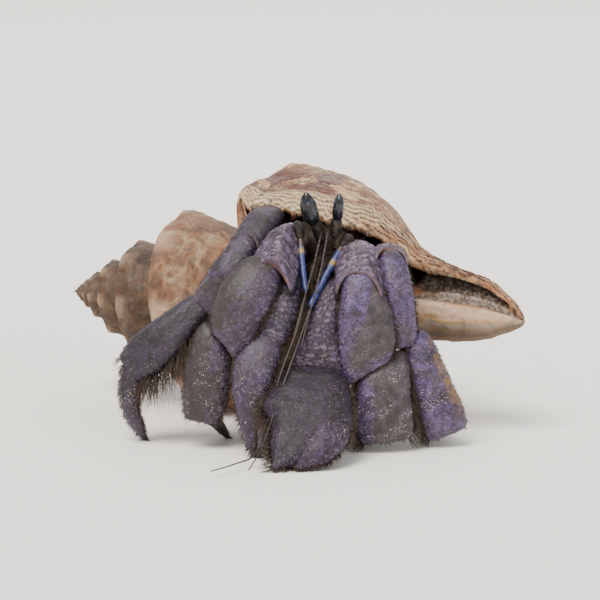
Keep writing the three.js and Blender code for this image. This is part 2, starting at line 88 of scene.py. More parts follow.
def read_along(values: tuple[float, ...], t: Array) -> Array:
    """Evenly spaced values, read smoothly at shares of the way.

    Args:
        values: The evenly spaced values, from start to end.
        t: Shares of the way, from 0 to 1.

    Returns:
        The values there.
    """
    known = np.asarray(values, float)
    place = np.clip(t, 0, 1) * (len(known) - 1)
    index = np.minimum(place.astype(int), len(known) - 2)
    step = place - index
    eased = 0.5 * step + 0.5 * smooth(0, 1, step)
    return lerp(known[index], known[index + 1], eased)


class Lattice:
    """A block of seeded random numbers that gives noise and scattered cells in space."""

    SIZE = 48

    def __init__(self, seed: int) -> None:
        """Fills the block.

        Args:
            seed: Which block it is.
        """
        rng = np.random.default_rng(seed)
        self.values = rng.random((self.SIZE,) * 3)
        self.offsets = rng.random((self.SIZE,) * 3 + (3,))

    def noise(self, points: Array, size: float) -> Array:
        """Soft noise from -1 to 1 with lumps of a size.

        Args:
            points: Places, as (..., 3).
            size: How far apart the lumps are.

        Returns:
            The noise at each place.
        """
        scaled = np.asarray(points, float) / size + 17.3
        cell = np.floor(scaled).astype(int)
        part = scaled - cell
        part = part * part * (3 - 2 * part)
        total = np.zeros(scaled.shape[:-1])
        for corner in np.ndindex(2, 2, 2):
            share = np.prod(np.where(corner, part, 1 - part), axis=-1)
            x, y, z = np.moveaxis((cell + corner) % self.SIZE, -1, 0)
            total += share * self.values[x, y, z]
        return 2 * total - 1

    def rough(self, points: Array, size: float, octaves: int = 3) -> Array:
        """Noise with finer and finer lumps, about -1 to 1."""
        return sum(self.noise(points, size / 2**k) * 0.55**k for k in range(octaves))

    def cells(self, points: Array, size: float) -> tuple[Array, Array, Array]:
        """Distance to the nearest of many scattered dots.

        Args:
            points: Places, as (..., 3).
            size: How far apart the dots are.

        Returns:
            The distance in dot spacings, how much further the next dot is, and a number from
            0 to 1 that belongs to the nearest.
        """
        scaled = np.asarray(points, float) / size + 5.7
        cell = np.floor(scaled).astype(int)
        nearest = np.full(scaled.shape[:-1], 9.0)
        second = nearest.copy()
        owner = np.zeros(scaled.shape[:-1])
        for corner in np.ndindex(3, 3, 3):
            home = cell + np.array(corner) - 1
            x, y, z = np.moveaxis(home % self.SIZE, -1, 0)
            away = np.linalg.norm(home + self.offsets[x, y, z] - scaled, axis=-1)
            closer = away < nearest
            second = np.where(closer, nearest, np.minimum(second, away))
            nearest = np.where(closer, away, nearest)
            owner = np.where(closer, self.values[x, y, z], owner)
        return nearest, second - nearest, owner


GRAIN = Lattice(7)


class PathCurve:
    """A smooth path through a few points."""

    def __init__(self, points: tuple[Point, ...]) -> None:
        """Keeps the points.

        Args:
            points: The points that the path passes, in order.
        """
        self.points = np.array(points, float)

    def at(self, t: Array) -> Array:
        """Points of the path at shares of the way (centripetal Catmull-Rom).

        Args:
            t: Shares of the way. Beyond the ends the path goes straight on.

        Returns:
            The points, as (..., 3).
        """
        p = self.points
        last = len(p) - 1
        held = np.vstack([2 * p[0] - p[1], p, 2 * p[-1] - p[-2]])
        t = np.asarray(t, float)
        place = np.clip(t, 0, 1) * last
        index = np.minimum(place.astype(int), last - 1)
        w = (place - index)[..., None]
        a, b, c, d = (held[index + k] for k in range(4))
        ab, bc, cd = (
            np.maximum(np.linalg.norm(far - near, axis=-1, keepdims=True), 1e-8) ** 0.5
            for near, far in ((a, b), (b, c), (c, d))
        )
        leave = ((b - a) / ab - (c - a) / (ab + bc) + (c - b) / bc) * bc
        reach = ((c - b) / bc - (d - b) / (bc + cd) + (d - c) / cd) * bc
        square = -3 * b + 3 * c - 2 * leave - reach
        cube = 2 * b - 2 * c + leave + reach
        return b + leave * w + square * w**2 + cube * w**3

    def direction(self, t: Array) -> Array:
        """Unit directions of the path at shares of the way."""
        t = np.clip(np.asarray(t, float), 0, 1)
        return unit(self.at(np.minimum(t + 1e-3, 1)) - self.at(np.maximum(t - 1e-3, 0)))

    def length(self) -> float:
        """Length of the path."""
        line = self.at(np.linspace(0, 1, 40))
        return float(np.linalg.norm(np.diff(line, axis=0), axis=1).sum())


@dataclass
class Solid:
    """A closed mesh in layout millimetres, with named values at its points."""

    points: Array
    quads: Array
    triangles: Array
    marks: dict[str, Array] = field(default_factory=dict)
    unwrap: Array | None = None  # the points' places on the skin's unwrap, as (n, 2)

    @staticmethod
    def over_rings(
        rings: Array, start: Array, end: Array, marks: dict[str, Array] | None = None
    ) -> "Solid":
        """A closed skin over rings of points, with a pole at each end.

        Args:
            rings: Points as (ring, side, 3).
            start: The pole before the first ring.
            end: The pole after the last ring.
            marks: Values at the rings' points, as (ring, side).

        Returns:
            The solid, with the marks carried on to its poles.
        """
        count, sides = rings.shape[:2]
        points = np.vstack([start[None], rings.reshape(-1, 3), end[None]])
        ids = 1 + np.arange(count * sides).reshape(count, sides)
        beside = np.roll(ids, -1, axis=1)
        quads = np.stack([ids[:-1], beside[:-1], beside[1:], ids[1:]], axis=-1).reshape(-1, 4)
        last = len(points) - 1
        near = np.stack([np.zeros(sides, int), beside[0], ids[0]], axis=-1)
        far = np.stack([np.full(sides, last), ids[-1], beside[-1]], axis=-1)
        held = {
            name: np.concatenate([[value[0].mean()], value.ravel(), [value[-1].mean()]])
            for name, value in (marks or {}).items()
        }
        return Solid(points, quads, np.vstack([near, far]), held)

    def outward(self) -> "Solid":
        """The same solid with its faces pointing out."""
        tris = np.vstack([self.quads[:, [0, 1, 2]], self.quads[:, [0, 2, 3]], self.triangles])
        a, b, c = (self.points[tris[:, k]] for k in range(3))
        if np.einsum("ij,ij->i", a, np.cross(b, c)).sum() < 0:
            self.quads = self.quads[:, ::-1]
            self.triangles = self.triangles[:, ::-1]
        return self

    @staticmethod
    def joined(solids: list["Solid"]) -> "Solid":
        """Several solids as one mesh."""
        starts = np.cumsum([0] + [len(s.points) for s in solids[:-1]])
        names = set().union(*(s.marks for s in solids))
        marks = {
            name: np.concatenate([s.marks.get(name, np.zeros(len(s.points))) for s in solids])
            for name in sorted(names)
        }
        return Solid(
            np.vstack([s.points for s in solids]),
            np.vstack([s.quads + k for s, k in zip(solids, starts)]),
            np.vstack([s.triangles + k for s, k in zip(solids, starts)]),
            marks,
        )


def grid_normals(points: Array) -> Array:
    """Outward unit normals of a grid of points that closes round its second axis."""
    down = np.gradient(points, axis=0)
    round_it = np.roll(points, -1, axis=1) - np.roll(points, 1, axis=1)
    normal = unit(np.cross(down, round_it))
    centre = points.mean(axis=1, keepdims=True)
    facing = np.sign(np.einsum("ijk,ijk->ij", normal, points - centre).mean())
    return normal * facing


def mesh_of(name: str, solid: Solid) -> bpy.types.Mesh:
    """A Blender mesh of a solid.

    Args:
        name: The mesh's name.
        solid: The solid, in layout millimetres.

    Returns:
        The mesh, in the frame's metres, with smooth faces and the solid's marks.
    """
    mesh = bpy.data.meshes.new(name)
    mesh.vertices.add(len(solid.points))
    standing = np.maximum(solid.points, [-np.inf, -np.inf, 0.0])
    mesh.vertices.foreach_set("co", to_frame(standing).astype(np.float32).ravel())
    corners = np.concatenate([solid.quads.ravel(), solid.triangles.ravel()]).astype(np.int32)
    four, three = len(solid.quads), len(solid.triangles)
    starts = np.concatenate([np.arange(four) * 4, four * 4 + np.arange(three) * 3])
    mesh.loops.add(len(corners))
    mesh.loops.foreach_set("vertex_index", corners)
    mesh.polygons.add(four + three)
    mesh.polygons.foreach_set("loop_start", starts.astype(np.int32))
    mesh.update(calc_edges=True)
    mesh.validate()
    mesh.shade_smooth()
    for mark, values in solid.marks.items():
        set_mark(mesh, mark, values)
    if solid.unwrap is not None:
        layer = mesh.uv_layers.new(name="OFBake")
        layer.data.foreach_set("uv", solid.unwrap[corners].astype(np.float32).ravel())
    return mesh


def layout_points(mesh: bpy.types.Mesh) -> Array:
    """A mesh's points in layout millimetres."""
    points = np.zeros(len(mesh.vertices) * 3, np.float32)
    mesh.vertices.foreach_get("co", points)
    return points.reshape(-1, 3) / MM + LAYOUT_CENTRE


def set_mark(mesh: bpy.types.Mesh, name: str, values: Array) -> None:
    """Keeps a named value at each point of a mesh."""
    layer = mesh.attributes.get(name) or mesh.attributes.new(name, "FLOAT", "POINT")
    layer.data.foreach_set("value", np.asarray(values, np.float32).ravel())


def add_object(name: str, mesh: bpy.types.Mesh) -> bpy.types.Object:
    """A new object in the scene for a mesh."""
    made = bpy.data.objects.new(name, mesh)
    bpy.context.scene.collection.objects.link(made)
    return made


def evaluated(piece: bpy.types.Object) -> bpy.types.Mesh:
    """A piece's mesh with its modifiers applied."""
    bpy.context.view_layer.update()
    return bpy.data.meshes.new_from_object(piece.evaluated_get(bpy.context.evaluated_depsgraph_get()))


class Slot(Enum):
    """The record's material slots."""

    SHELL = "shell"
    ARMOUR = "armour"
    SOFT_BODY = "soft_body"
    CORNEA = "cornea"
    EYESTALK = "eyestalk"
    ANTENNA = "antenna"
    FEELER = "feeler"


def place(name: str, mesh: bpy.types.Mesh, finish: "Finish", slot: Slot, *nodes: str) -> None:
    """Adds a finished piece to the model.

    Args:
        name: The piece's name.
        mesh: Its mesh, in the frame's metres.
        finish: What its surface looks like.
        slot: The record's slot for it; not used.
        nodes: The nodes that it stands for.
    """
    piece = add_object(name, mesh)
    piece.data.materials.clear()
    piece.data.materials.append(finish.material())
    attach(piece, BODY)
    if nodes:
        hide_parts(*nodes)
    LOG.info("%s: %d faces", name, len(piece.data.polygons))


# ---- Finishes ------------------------------------------------------------------------------


def linear(colour: Colour) -> tuple[float, float, float, float]:
    """A screen colour, 0 to 255, as the linear colour that a shader takes."""
    parts = [c / 255 for c in colour]
    red, green, blue = (c / 12.92 if c <= 0.04045 else ((c + 0.055) / 1.055) ** 2.4 for c in parts)
    return red, green, blue, 1.0


class Recipe:
    """The node tree of one material, with a short call for each kind of node."""

    def __init__(self, name: str) -> None:
        """Starts a material with only its shader and its surface coordinates.

        Args:
            name: The material's name.
        """
        self.made = bpy.data.materials.new(name)
        self.made.use_nodes = True
        self.tree = self.made.node_tree
        self.shader = self.tree.nodes["Principled BSDF"]
        self.place = self.node("ShaderNodeTexCoord").outputs["Object"]

    def node(self, kind: str, **settings: object) -> bpy.types.Node:
        """A new node with some of its settings."""
        made = self.tree.nodes.new(kind)
        for name, value in settings.items():
            setattr(made, name, value)
        return made

    def feed(self, socket: Socket, value: object) -> None:
        """Links a socket to another, or sets its number or colour."""
        if isinstance(value, Socket):
            self.tree.links.new(value, socket)
        else:
            socket.default_value = value

    def noise(self, size_mm: float, detail: float = 3, warp: float = 0) -> Socket:
        """Soft noise from 0 to 1, with lumps of a size."""
        return self.plain_noise(self.place, 1 / (size_mm * MM), detail, warp)

    def dots(self, spacing_mm: float) -> tuple[Socket, Socket]:
        """Scattered dots: the distance to the nearest, and a colour that belongs to it."""
        made = self.node("ShaderNodeTexVoronoi")
        self.feed(made.inputs["Vector"], self.place)
        made.inputs["Scale"].default_value = 1 / (spacing_mm * MM)
        return made.outputs["Distance"], made.outputs["Color"]

    def mark(self, name: str) -> Socket:
        """A value that the mesh keeps at its points."""
        return self.node("ShaderNodeAttribute", attribute_name=name).outputs["Fac"]

    def step(self, value: object, low: float, high: float) -> Socket:
        """A soft step from 0 at low to 1 at high, or falling where low is the greater."""
        made = self.node("ShaderNodeMapRange", interpolation_type="SMOOTHSTEP", clamp=True)
        self.feed(made.inputs["Value"], value)
        numbers = (low, high, 0, 1) if low < high else (high, low, 1, 0)
        for name, number in zip(("From Min", "From Max", "To Min", "To Max"), numbers):
            made.inputs[name].default_value = number
        return made.outputs["Result"]

    def math(self, operation: str, a: object, b: object = 0.5) -> Socket:
        """One sum on two values."""
        made = self.node("ShaderNodeMath", operation=operation)
        self.feed(made.inputs[0], a)
        self.feed(made.inputs[1], b)
        return made.outputs[0]

    def times(self, *values: object) -> Socket:
        """The product of several values."""
        total = values[0]
        for value in values[1:]:
            total = self.math("MULTIPLY", total, value)
        return total

    def mix(self, share: object, below: object, above: object) -> Socket:
        """One colour laid over another."""
        made = self.node("ShaderNodeMix", data_type="RGBA")
        self.feed(made.inputs[0], share)
        for socket, value in ((made.inputs[6], below), (made.inputs[7], above)):
            self.feed(socket, linear(value) if isinstance(value, tuple) else value)
        return made.outputs[2]

    def ramp(self, value: object, *stops: tuple[float, Colour]) -> Socket:
        """Colours along a value."""
        made = self.node("ShaderNodeValToRGB")
        self.feed(made.inputs["Fac"], value)
        elements = made.color_ramp.elements
        while len(elements) < len(stops):
            elements.new(0.5)
        for element, (at, colour) in zip(elements, sorted(stops)):
            element.position = at
            element.color = linear(colour)
        return made.outputs["Color"]

    def red(self, colour: object) -> Socket:
        """The red part of a colour, as a number that belongs to a dot."""
        made = self.node("ShaderNodeSeparateColor")
        self.feed(made.inputs["Color"], colour)
        return made.outputs["Red"]

    def joined(self, x: object, y: object, z: object) -> Socket:
        """Three values as one place."""
        made = self.node("ShaderNodeCombineXYZ")
        for socket, value in zip(made.inputs, (x, y, z)):
            self.feed(socket, value)
        return made.outputs["Vector"]

    def plain_noise(self, where: object, scale: float, detail: float = 3, warp: float = 0) -> Socket:
        """Noise over places that aren't in metres."""
        made = self.node("ShaderNodeTexNoise")
        self.feed(made.inputs["Vector"], where)
        made.inputs["Scale"].default_value = scale
        made.inputs["Detail"].default_value = detail
        made.inputs["Distortion"].default_value = warp
        return made.outputs["Fac"]

    def scale(self, value: object, low: float, high: float) -> Socket:
        """A value from 0 to 1 as one from low to high."""
        made = self.node("ShaderNodeMapRange", clamp=True)
        self.feed(made.inputs["Value"], value)
        made.inputs["To Min"].default_value = low
        made.inputs["To Max"].default_value = high
        return made.outputs["Result"]

    def bump(self, *layers: tuple[object, float]) -> Socket:
        """Fine relief in layers of a height from 0 to 1 and its size in millimetres."""
        normal = None
        for height, size_mm in layers:
            made = self.node("ShaderNodeBump")
            made.inputs["Strength"].default_value = 1.0
            made.inputs["Distance"].default_value = size_mm * MM
            self.feed(made.inputs["Height"], height)
            if normal is not None:
                self.feed(made.inputs["Normal"], normal)
            normal = made.outputs["Normal"]
        return normal

    def done(
        self, colour: object, roughness: object, normal: object = None, **constants: float
    ) -> bpy.types.Material:
        """Feeds the shader.

        Args:
            colour: The base colour.
            roughness: The roughness.
            normal: The relief, or None.
            constants: Values of the shader's own sockets, with _ for a space.

        Returns:
            The material.
        """
        self.feed(self.shader.inputs["Base Color"], colour)
        self.feed(self.shader.inputs["Roughness"], roughness)
        if normal is not None:
            self.feed(self.shader.inputs["Normal"], normal)
        for name, value in constants.items():
            self.shader.inputs[name.replace("_", " ")].default_value = value
        return self.made


@dataclass(frozen=True)
class Finish:
    """A surface finish, whose material is made once."""

    name: str

    def recipe(self) -> bpy.types.Material:
        """The finish's material, made new."""
        raise NotImplementedError

    def material(self) -> bpy.types.Material:
        """The finish's material."""
        return bpy.data.materials.get(self.name) or self.recipe()


@dataclass(frozen=True)
class ArmourFinish(Finish):
    """The limbs' chalky shell: purple and grey, with dark pits, pale grains and brown margins."""

    purple: Colour = (84, 66, 109)
    grey: Colour = (79, 66, 74)
    deep: Colour = (34, 24, 38)
    smooth_patch: Colour = (60, 54, 49)
    worn: Colour = (36, 30, 29)
    pit_and_bead_shadow: Colour = (20, 12, 28)
    bead: Colour = (124, 108, 132)
    grain: Colour = (222, 210, 200)
    groove: Colour = (34, 25, 30)
    crest: Colour = (124, 110, 132)
    margin: Colour = (98, 72, 54)
    ochre: Colour = (118, 88, 52)
    dust: float = 1.0
    gloss: float = 0.42
    shine: float = 0.4
    pitted: float = 0.8  # how strongly the dark pits show away from the edges
    film: Colour = (46, 38, 38)
    shadow: Colour = (20, 15, 17)

    def recipe(self) -> bpy.types.Material:
        """Lays the colours over each other, from the ground tone to the grains."""
        r = Recipe(self.name)
        edge, patch = r.mark("edge"), r.mark("patch")
        tone = r.ramp(r.noise(6.0, 5, 0.6), (0.34, self.deep), (0.5, self.purple), (0.64, self.grey))
        tone = r.mix(r.times(edge, 0.5), tone, self.purple)
        worn = r.ramp(r.noise(2.6, 6, 0.5), (0.36, self.worn), (0.5, self.smooth_patch),
                      (0.64, self.grey))
        tone = r.mix(r.times(patch, 0.92), tone, worn)
        bare = r.math("SUBTRACT", 1.0, r.times(patch, 0.8))
        tone = r.mix(r.times(r.step(r.noise(1.1, 6), 0.52, 0.42), 0.6, bare), tone, self.deep)
        tone = r.mix(r.times(r.step(r.noise(0.45, 4), 0.54, 0.66), 0.26, bare), tone, self.bead)
        tone = r.mix(r.times(r.step(r.noise(2.4, 6), 0.56, 0.5), 0.35), tone, self.film)
        # The groove mark darkens a random wrinkle pattern and, as painted shade, the creases between
        # scales; the crest mark paints the edge bead rows paler and the scales' tops with a painted
        # highlight.
        tone = r.mix(r.times(r.mark("groove"), 0.9), tone, self.groove)
        tone = r.mix(r.times(r.mark("crest"), 0.55), tone, self.crest)
        tone = r.mix(r.times(r.mark("bead"), 0.35, bare), tone, self.bead)
        # Painted shadow beside each bead, in the dark pits' colour.
        tone = r.mix(r.times(r.mark("pit_and_bead_shadow"), 0.85, bare), tone, self.pit_and_bead_shadow)
        away, own = r.dots(0.9)
        common = r.times(r.step(r.red(own), 0.3, 0.36), bare, r.scale(edge, self.pitted, 1))
        tone = r.mix(r.times(r.step(away, 0.46, 0.36), common, 0.25), tone, self.bead)
        spot = r.times(r.step(away, 0.33, 0.25), common)
        tone = r.mix(spot, tone, self.pit_and_bead_shadow)
        ochre = r.times(r.mark("ochre"), r.step(r.noise(1.6, 6), 0.34, 0.58), 0.9)
        tone = r.mix(ochre, tone, self.ochre)
        tone = r.mix(r.times(r.mark("margin"), r.step(r.noise(0.6, 3), 0.4, 0.55)), tone, self.margin)
        speck = self._grains(r)
        tone = r.mix(speck, tone, self.grain)
        # Painted shade, laid where the plate's shade mark says.
        tone = r.mix(r.times(r.mark("shade"), 0.88), tone, self.shadow)
        hollow = r.math("SUBTRACT", 1.0, spot)
        normal = r.bump((r.noise(0.7, 4), 0.1), (r.noise(0.16, 2), 0.035), (speck, 0.12),
                        (hollow, 0.08))
        rough = r.scale(r.noise(1.1, 3), self.gloss - 0.06, self.gloss + 0.2)
        return r.done(tone, rough, normal, Specular_IOR_Level=self.shine)

    def _grains(self, r: Recipe) -> Socket:
        """Where pale grains of two sizes stick, in drifts."""
        drift = r.step(r.noise(2.6, 6), 0.46, 0.62)
        layers = []
        for pitch, size in ((0.3, 0.32), (0.6, 0.24)):
            away, own = r.dots(pitch)
            chance = r.step(r.red(own), 0.52, 0.58)
            layers.append(r.times(r.step(away, size, size - 0.1), chance))
        both = r.math("MAXIMUM", *layers)
        return r.times(both, r.mark("dusty"), drift, self.dust)


@dataclass(frozen=True)
class ConchFinish(Finish):
    """The worn shell: flames, a dark spire, a pale layered lip, a glazed canal and a dark inside."""

    cream: Colour = (200, 172, 134)
    pale: Colour = (206, 182, 146)
    tan: Colour = (170, 124, 88)
    orange: Colour = (154, 100, 64)
    brown: Colour = (88, 54, 38)
    dark: Colour = (42, 26, 19)
    rust: Colour = (90, 47, 34)
    spire: Colour = (51, 32, 16)
    spire_dark: Colour = (29, 19, 12)
    knob: Colour = (196, 166, 138)
    inside: Colour = (88, 34, 22)
    inner_lip: Colour = (186, 124, 82)
    pearl: Colour = (194, 162, 138)
    yellow: Colour = (172, 134, 84)
    grime: Colour = (88, 76, 66)
    spire_pale: Colour = (82, 56, 34)
    columella_shadow: Colour = (148, 136, 126)
    canal_tan: Colour = (128, 104, 82)
    canal_brown: Colour = (112, 86, 64)
    grit_dark: Colour = (62, 54, 50)
    grit_pale: Colour = (132, 122, 112)

    def recipe(self) -> bpy.types.Material:
        """Lays flames, the spire, the lip, the canal's glaze and the inside over each other."""
        r = Recipe(self.name)
        growth, band = r.mark("growth"), r.mark("band")
        wander = r.times(r.math("SUBTRACT", r.noise(4, 4), 0.5), 3.4)
        back = r.math("ADD", r.mark("back"), wander)  # millimetres from the lip
        near = r.step(back, 40, 24)
        spire = r.times(r.step(growth, -200, -330), r.scale(r.step(growth, -400, -560), 0.5, 1))
        streak = r.plain_noise(r.joined(r.times(back, 0.3), r.times(band, 0.09), 0.0), 1.3, 6)
        flames = r.ramp(streak, (0.37, self.cream), (0.45, self.tan), (0.5, self.brown),
                        (0.57, self.cream), (0.64, self.tan))
        mottle = r.ramp(r.noise(4.5, 7, 0.8), (0.38, self.brown), (0.5, self.orange),
                        (0.68, self.cream))
        tone = r.mix(r.scale(near, 0.85, 0.15), flames, mottle)
        worn_spire = r.ramp(r.noise(4, 6, 0.8), (0.34, self.spire_dark), (0.52, self.spire),
                            (0.7, self.spire_pale))
        tone = r.mix(r.times(spire, 0.9), tone, worn_spire)
        patch = r.plain_noise(r.joined(r.times(back, 0.13), r.times(band, 0.11), 7.0), 1.0, 2)
        patch = r.times(r.step(patch, 0.45, 0.49), r.step(back, 5, 6.5), r.step(back, 24, 18),
                        r.step(band, 72, 66))
        tone = r.mix(r.times(patch, 0.95), tone, self.rust)
        lip = r.times(r.step(back, 7.5, 5), r.step(band, 80, 66))
        layers = r.mix(r.step(r.noise(1.6, 4), 0.45, 0.6), self.pale, self.cream)
        tone = r.mix(r.times(lip, 0.85), tone, layers)
        edge = r.times(r.step(back, 3.2, 1.2), r.step(band, 58, 68))
        tone = r.mix(r.times(edge, r.step(r.noise(3, 3), 0.35, 0.6), 0.6), tone, self.orange)
        stain = r.times(r.mark("stain"), r.step(r.noise(1.8, 5), 0.4, 0.56), 0.85)
        tone = r.mix(stain, tone, self.dark)
        under = r.times(r.step(band, 70, 78), r.step(growth, -180, -215))
        rows = r.math("ADD", growth, r.times(r.math("SUBTRACT", r.noise(5, 3), 0.5), 26))
        rows = r.scale(r.times(r.math("ADD", rows, 318), 0.0139), 0, 1)
        # Bands down the columella; the grey band is a painted shadow.
        glaze = r.ramp(rows, (0.02, self.tan), (0.1, self.pearl), (0.3, self.pearl),
                       (0.4, self.yellow), (0.48, self.columella_shadow), (0.6, self.canal_tan),
                       (0.78, self.grime), (0.95, self.canal_brown))
        tone = r.mix(r.times(under, 0.93), tone, glaze)
        worn = r.times(r.step(r.noise(1.4, 6), 0.53, 0.64), r.scale(under, 0.55, 0.4))
        tone = r.mix(worn, tone, self.grime)
        line = r.times(r.step(streak, 0.5, 0.44), r.step(r.noise(0.9, 5), 0.49, 0.56),
                       r.scale(near, 0.3, 0.6))
        tone = r.mix(r.times(line, r.step(under, 1, 0), r.step(back, 4, 7)), tone, self.dark)
        # Dark lines at the foot of each growth ledge: partly the lip's brown growth lines, partly the
        # ledge's painted shadow.
        broken = r.step(r.noise(2.2, 4), 0.28, 0.44)
        lines = r.times(r.mark("ledge"), broken, r.step(under, 1, 0), r.scale(patch, 1, 0.2), 0.95)
        tone = r.mix(lines, tone, self.dark)
        knob = r.times(r.mark("knob"), r.scale(r.noise(1.5, 4), 0.4, 1), r.scale(spire, 1, 0.5))
        tone = r.mix(knob, tone, self.knob)
        inside = r.mark("inside")
        deep = r.mix(r.step(growth, -5, -24), self.inner_lip, self.inside)
        grit = r.mix(r.step(r.noise(0.7, 6), 0.4, 0.66), self.grit_dark, self.grit_pale)
        deep = r.mix(r.times(r.step(band, 76, 82), 0.9), deep, grit)
        tone = r.mix(inside, tone, deep)
        slot = r.times(r.step(band, 74, 80), r.step(growth, -312, -326))
        tone = r.mix(r.times(slot, 0.9), tone, grit)
        rough = r.scale(r.math("MAXIMUM", inside, r.times(patch, 0.8)), 0.6, 0.36)
        normal = r.bump((r.noise(0.9, 4), 0.16), (line, 0.12), (r.noise(0.25, 3), 0.06))
        return r.done(tone, rough, normal, Specular_IOR_Level=0.4)


@dataclass(frozen=True)
class FleshFinish(Finish):
    """Soft skin: brown to orange, mottled, with painted shade where its shade mark lies."""

    tone: Colour = (122, 84, 64)
    deep: Colour = (64, 42, 36)
    pale: Colour = (166, 122, 90)
    gloss: float = 0.45
    shine: float = 0.2
    shadow: Colour = (9, 6, 6)

    def recipe(self) -> bpy.types.Material:
        """Lays soft blotches and fine wrinkles."""
        r = Recipe(self.name)
        tone = r.ramp(r.noise(1.6, 4), (0.32, self.deep), (0.5, self.tone), (0.72, self.pale))
        # Painted shade, laid where the mesh's shade mark says.
        tone = r.mix(r.times(r.mark("shade"), 0.9), tone, self.shadow)
        normal = r.bump((r.noise(0.5, 3), 0.08), (r.noise(0.14, 2), 0.02))
        rough = r.scale(r.noise(0.8, 3), self.gloss, self.gloss + 0.2)
        return r.done(tone, rough, normal, Specular_IOR_Level=self.shine)


@dataclass(frozen=True)
class CorneaFinish(Finish):
    """The black-grey glossy eye, with a bluish bloom."""

    dark: Colour = (9, 10, 13)
    tone: Colour = (24, 28, 35)
    bloom: Colour = (70, 80, 92)

    def recipe(self) -> bpy.types.Material:
        """Lays a bloom over the dark of the eye, with the facets as fine relief."""
        r = Recipe(self.name)
        tone = r.ramp(r.noise(1.2, 3), (0.42, self.dark), (0.58, self.tone), (0.76, self.bloom))
        away, _ = r.dots(0.12)
        normal = r.bump((away, 0.008))
        rough = r.scale(r.noise(0.9, 2), 0.14, 0.34)
        return r.done(tone, rough, normal, Specular_IOR_Level=0.3, Coat_Weight=0.35,
                      Coat_Roughness=0.05)


@dataclass(frozen=True)
class StalkFinish(Finish):
    """Banded feeler armour: one tone along it, rings at its joints, and a paler band."""

    tone: Colour = (50, 60, 122)
    deep: Colour = (28, 28, 58)
    band: Colour = (140, 118, 62)
    base: Colour = (58, 46, 40)
    gloss: float = 0.3
    ring: Colour = (22, 18, 22)

    def recipe(self) -> bpy.types.Material:
        """Lays the base, the band and the rings over the stalk's tone."""
        r = Recipe(self.name)
        tone = r.ramp(r.noise(0.9, 3), (0.35, self.deep), (0.6, self.tone))
        tone = r.mix(r.mark("base"), tone, self.base)
        tone = r.mix(r.mark("band"), tone, self.band)
        tone = r.mix(r.times(r.mark("groove"), 0.8), tone, self.ring)
        normal = r.bump((r.noise(0.3, 3), 0.03))
        return r.done(tone, r.scale(r.noise(0.7, 2), self.gloss, self.gloss + 0.2), normal)


@dataclass(frozen=True)
class BristleFinish(Finish):
    """Stiff hairs, amber to dark brown."""

    root: Colour = (30, 22, 20)
    tip: Colour = (108, 86, 68)

    def recipe(self) -> bpy.types.Material:
        """Runs from the root's tone to the tip's, uneven from hair to hair."""
        r = Recipe(self.name)
        tone = r.mix(r.times(r.mark("tip"), r.scale(r.noise(1.8, 2), 0.3, 1)), self.root, self.tip)
        return r.done(tone, r.scale(r.noise(0.8, 2), 0.35, 0.6))


@dataclass(frozen=True)
class GroundFinish(Finish):
    """The pale floor under the model."""

    tone: Colour = (246, 243, 238)
    shade: Colour = (240, 237, 231)

    def recipe(self) -> bpy.types.Material:
        """Gives the floor a plain matt tone, a little uneven."""
        r = Recipe(self.name)
        tone = r.mix(r.noise(180, 2), self.tone, self.shade)
        return r.done(tone, 0.9, Specular_IOR_Level=0.1)


# ---- Shell ---------------------------------------------------------------------------------


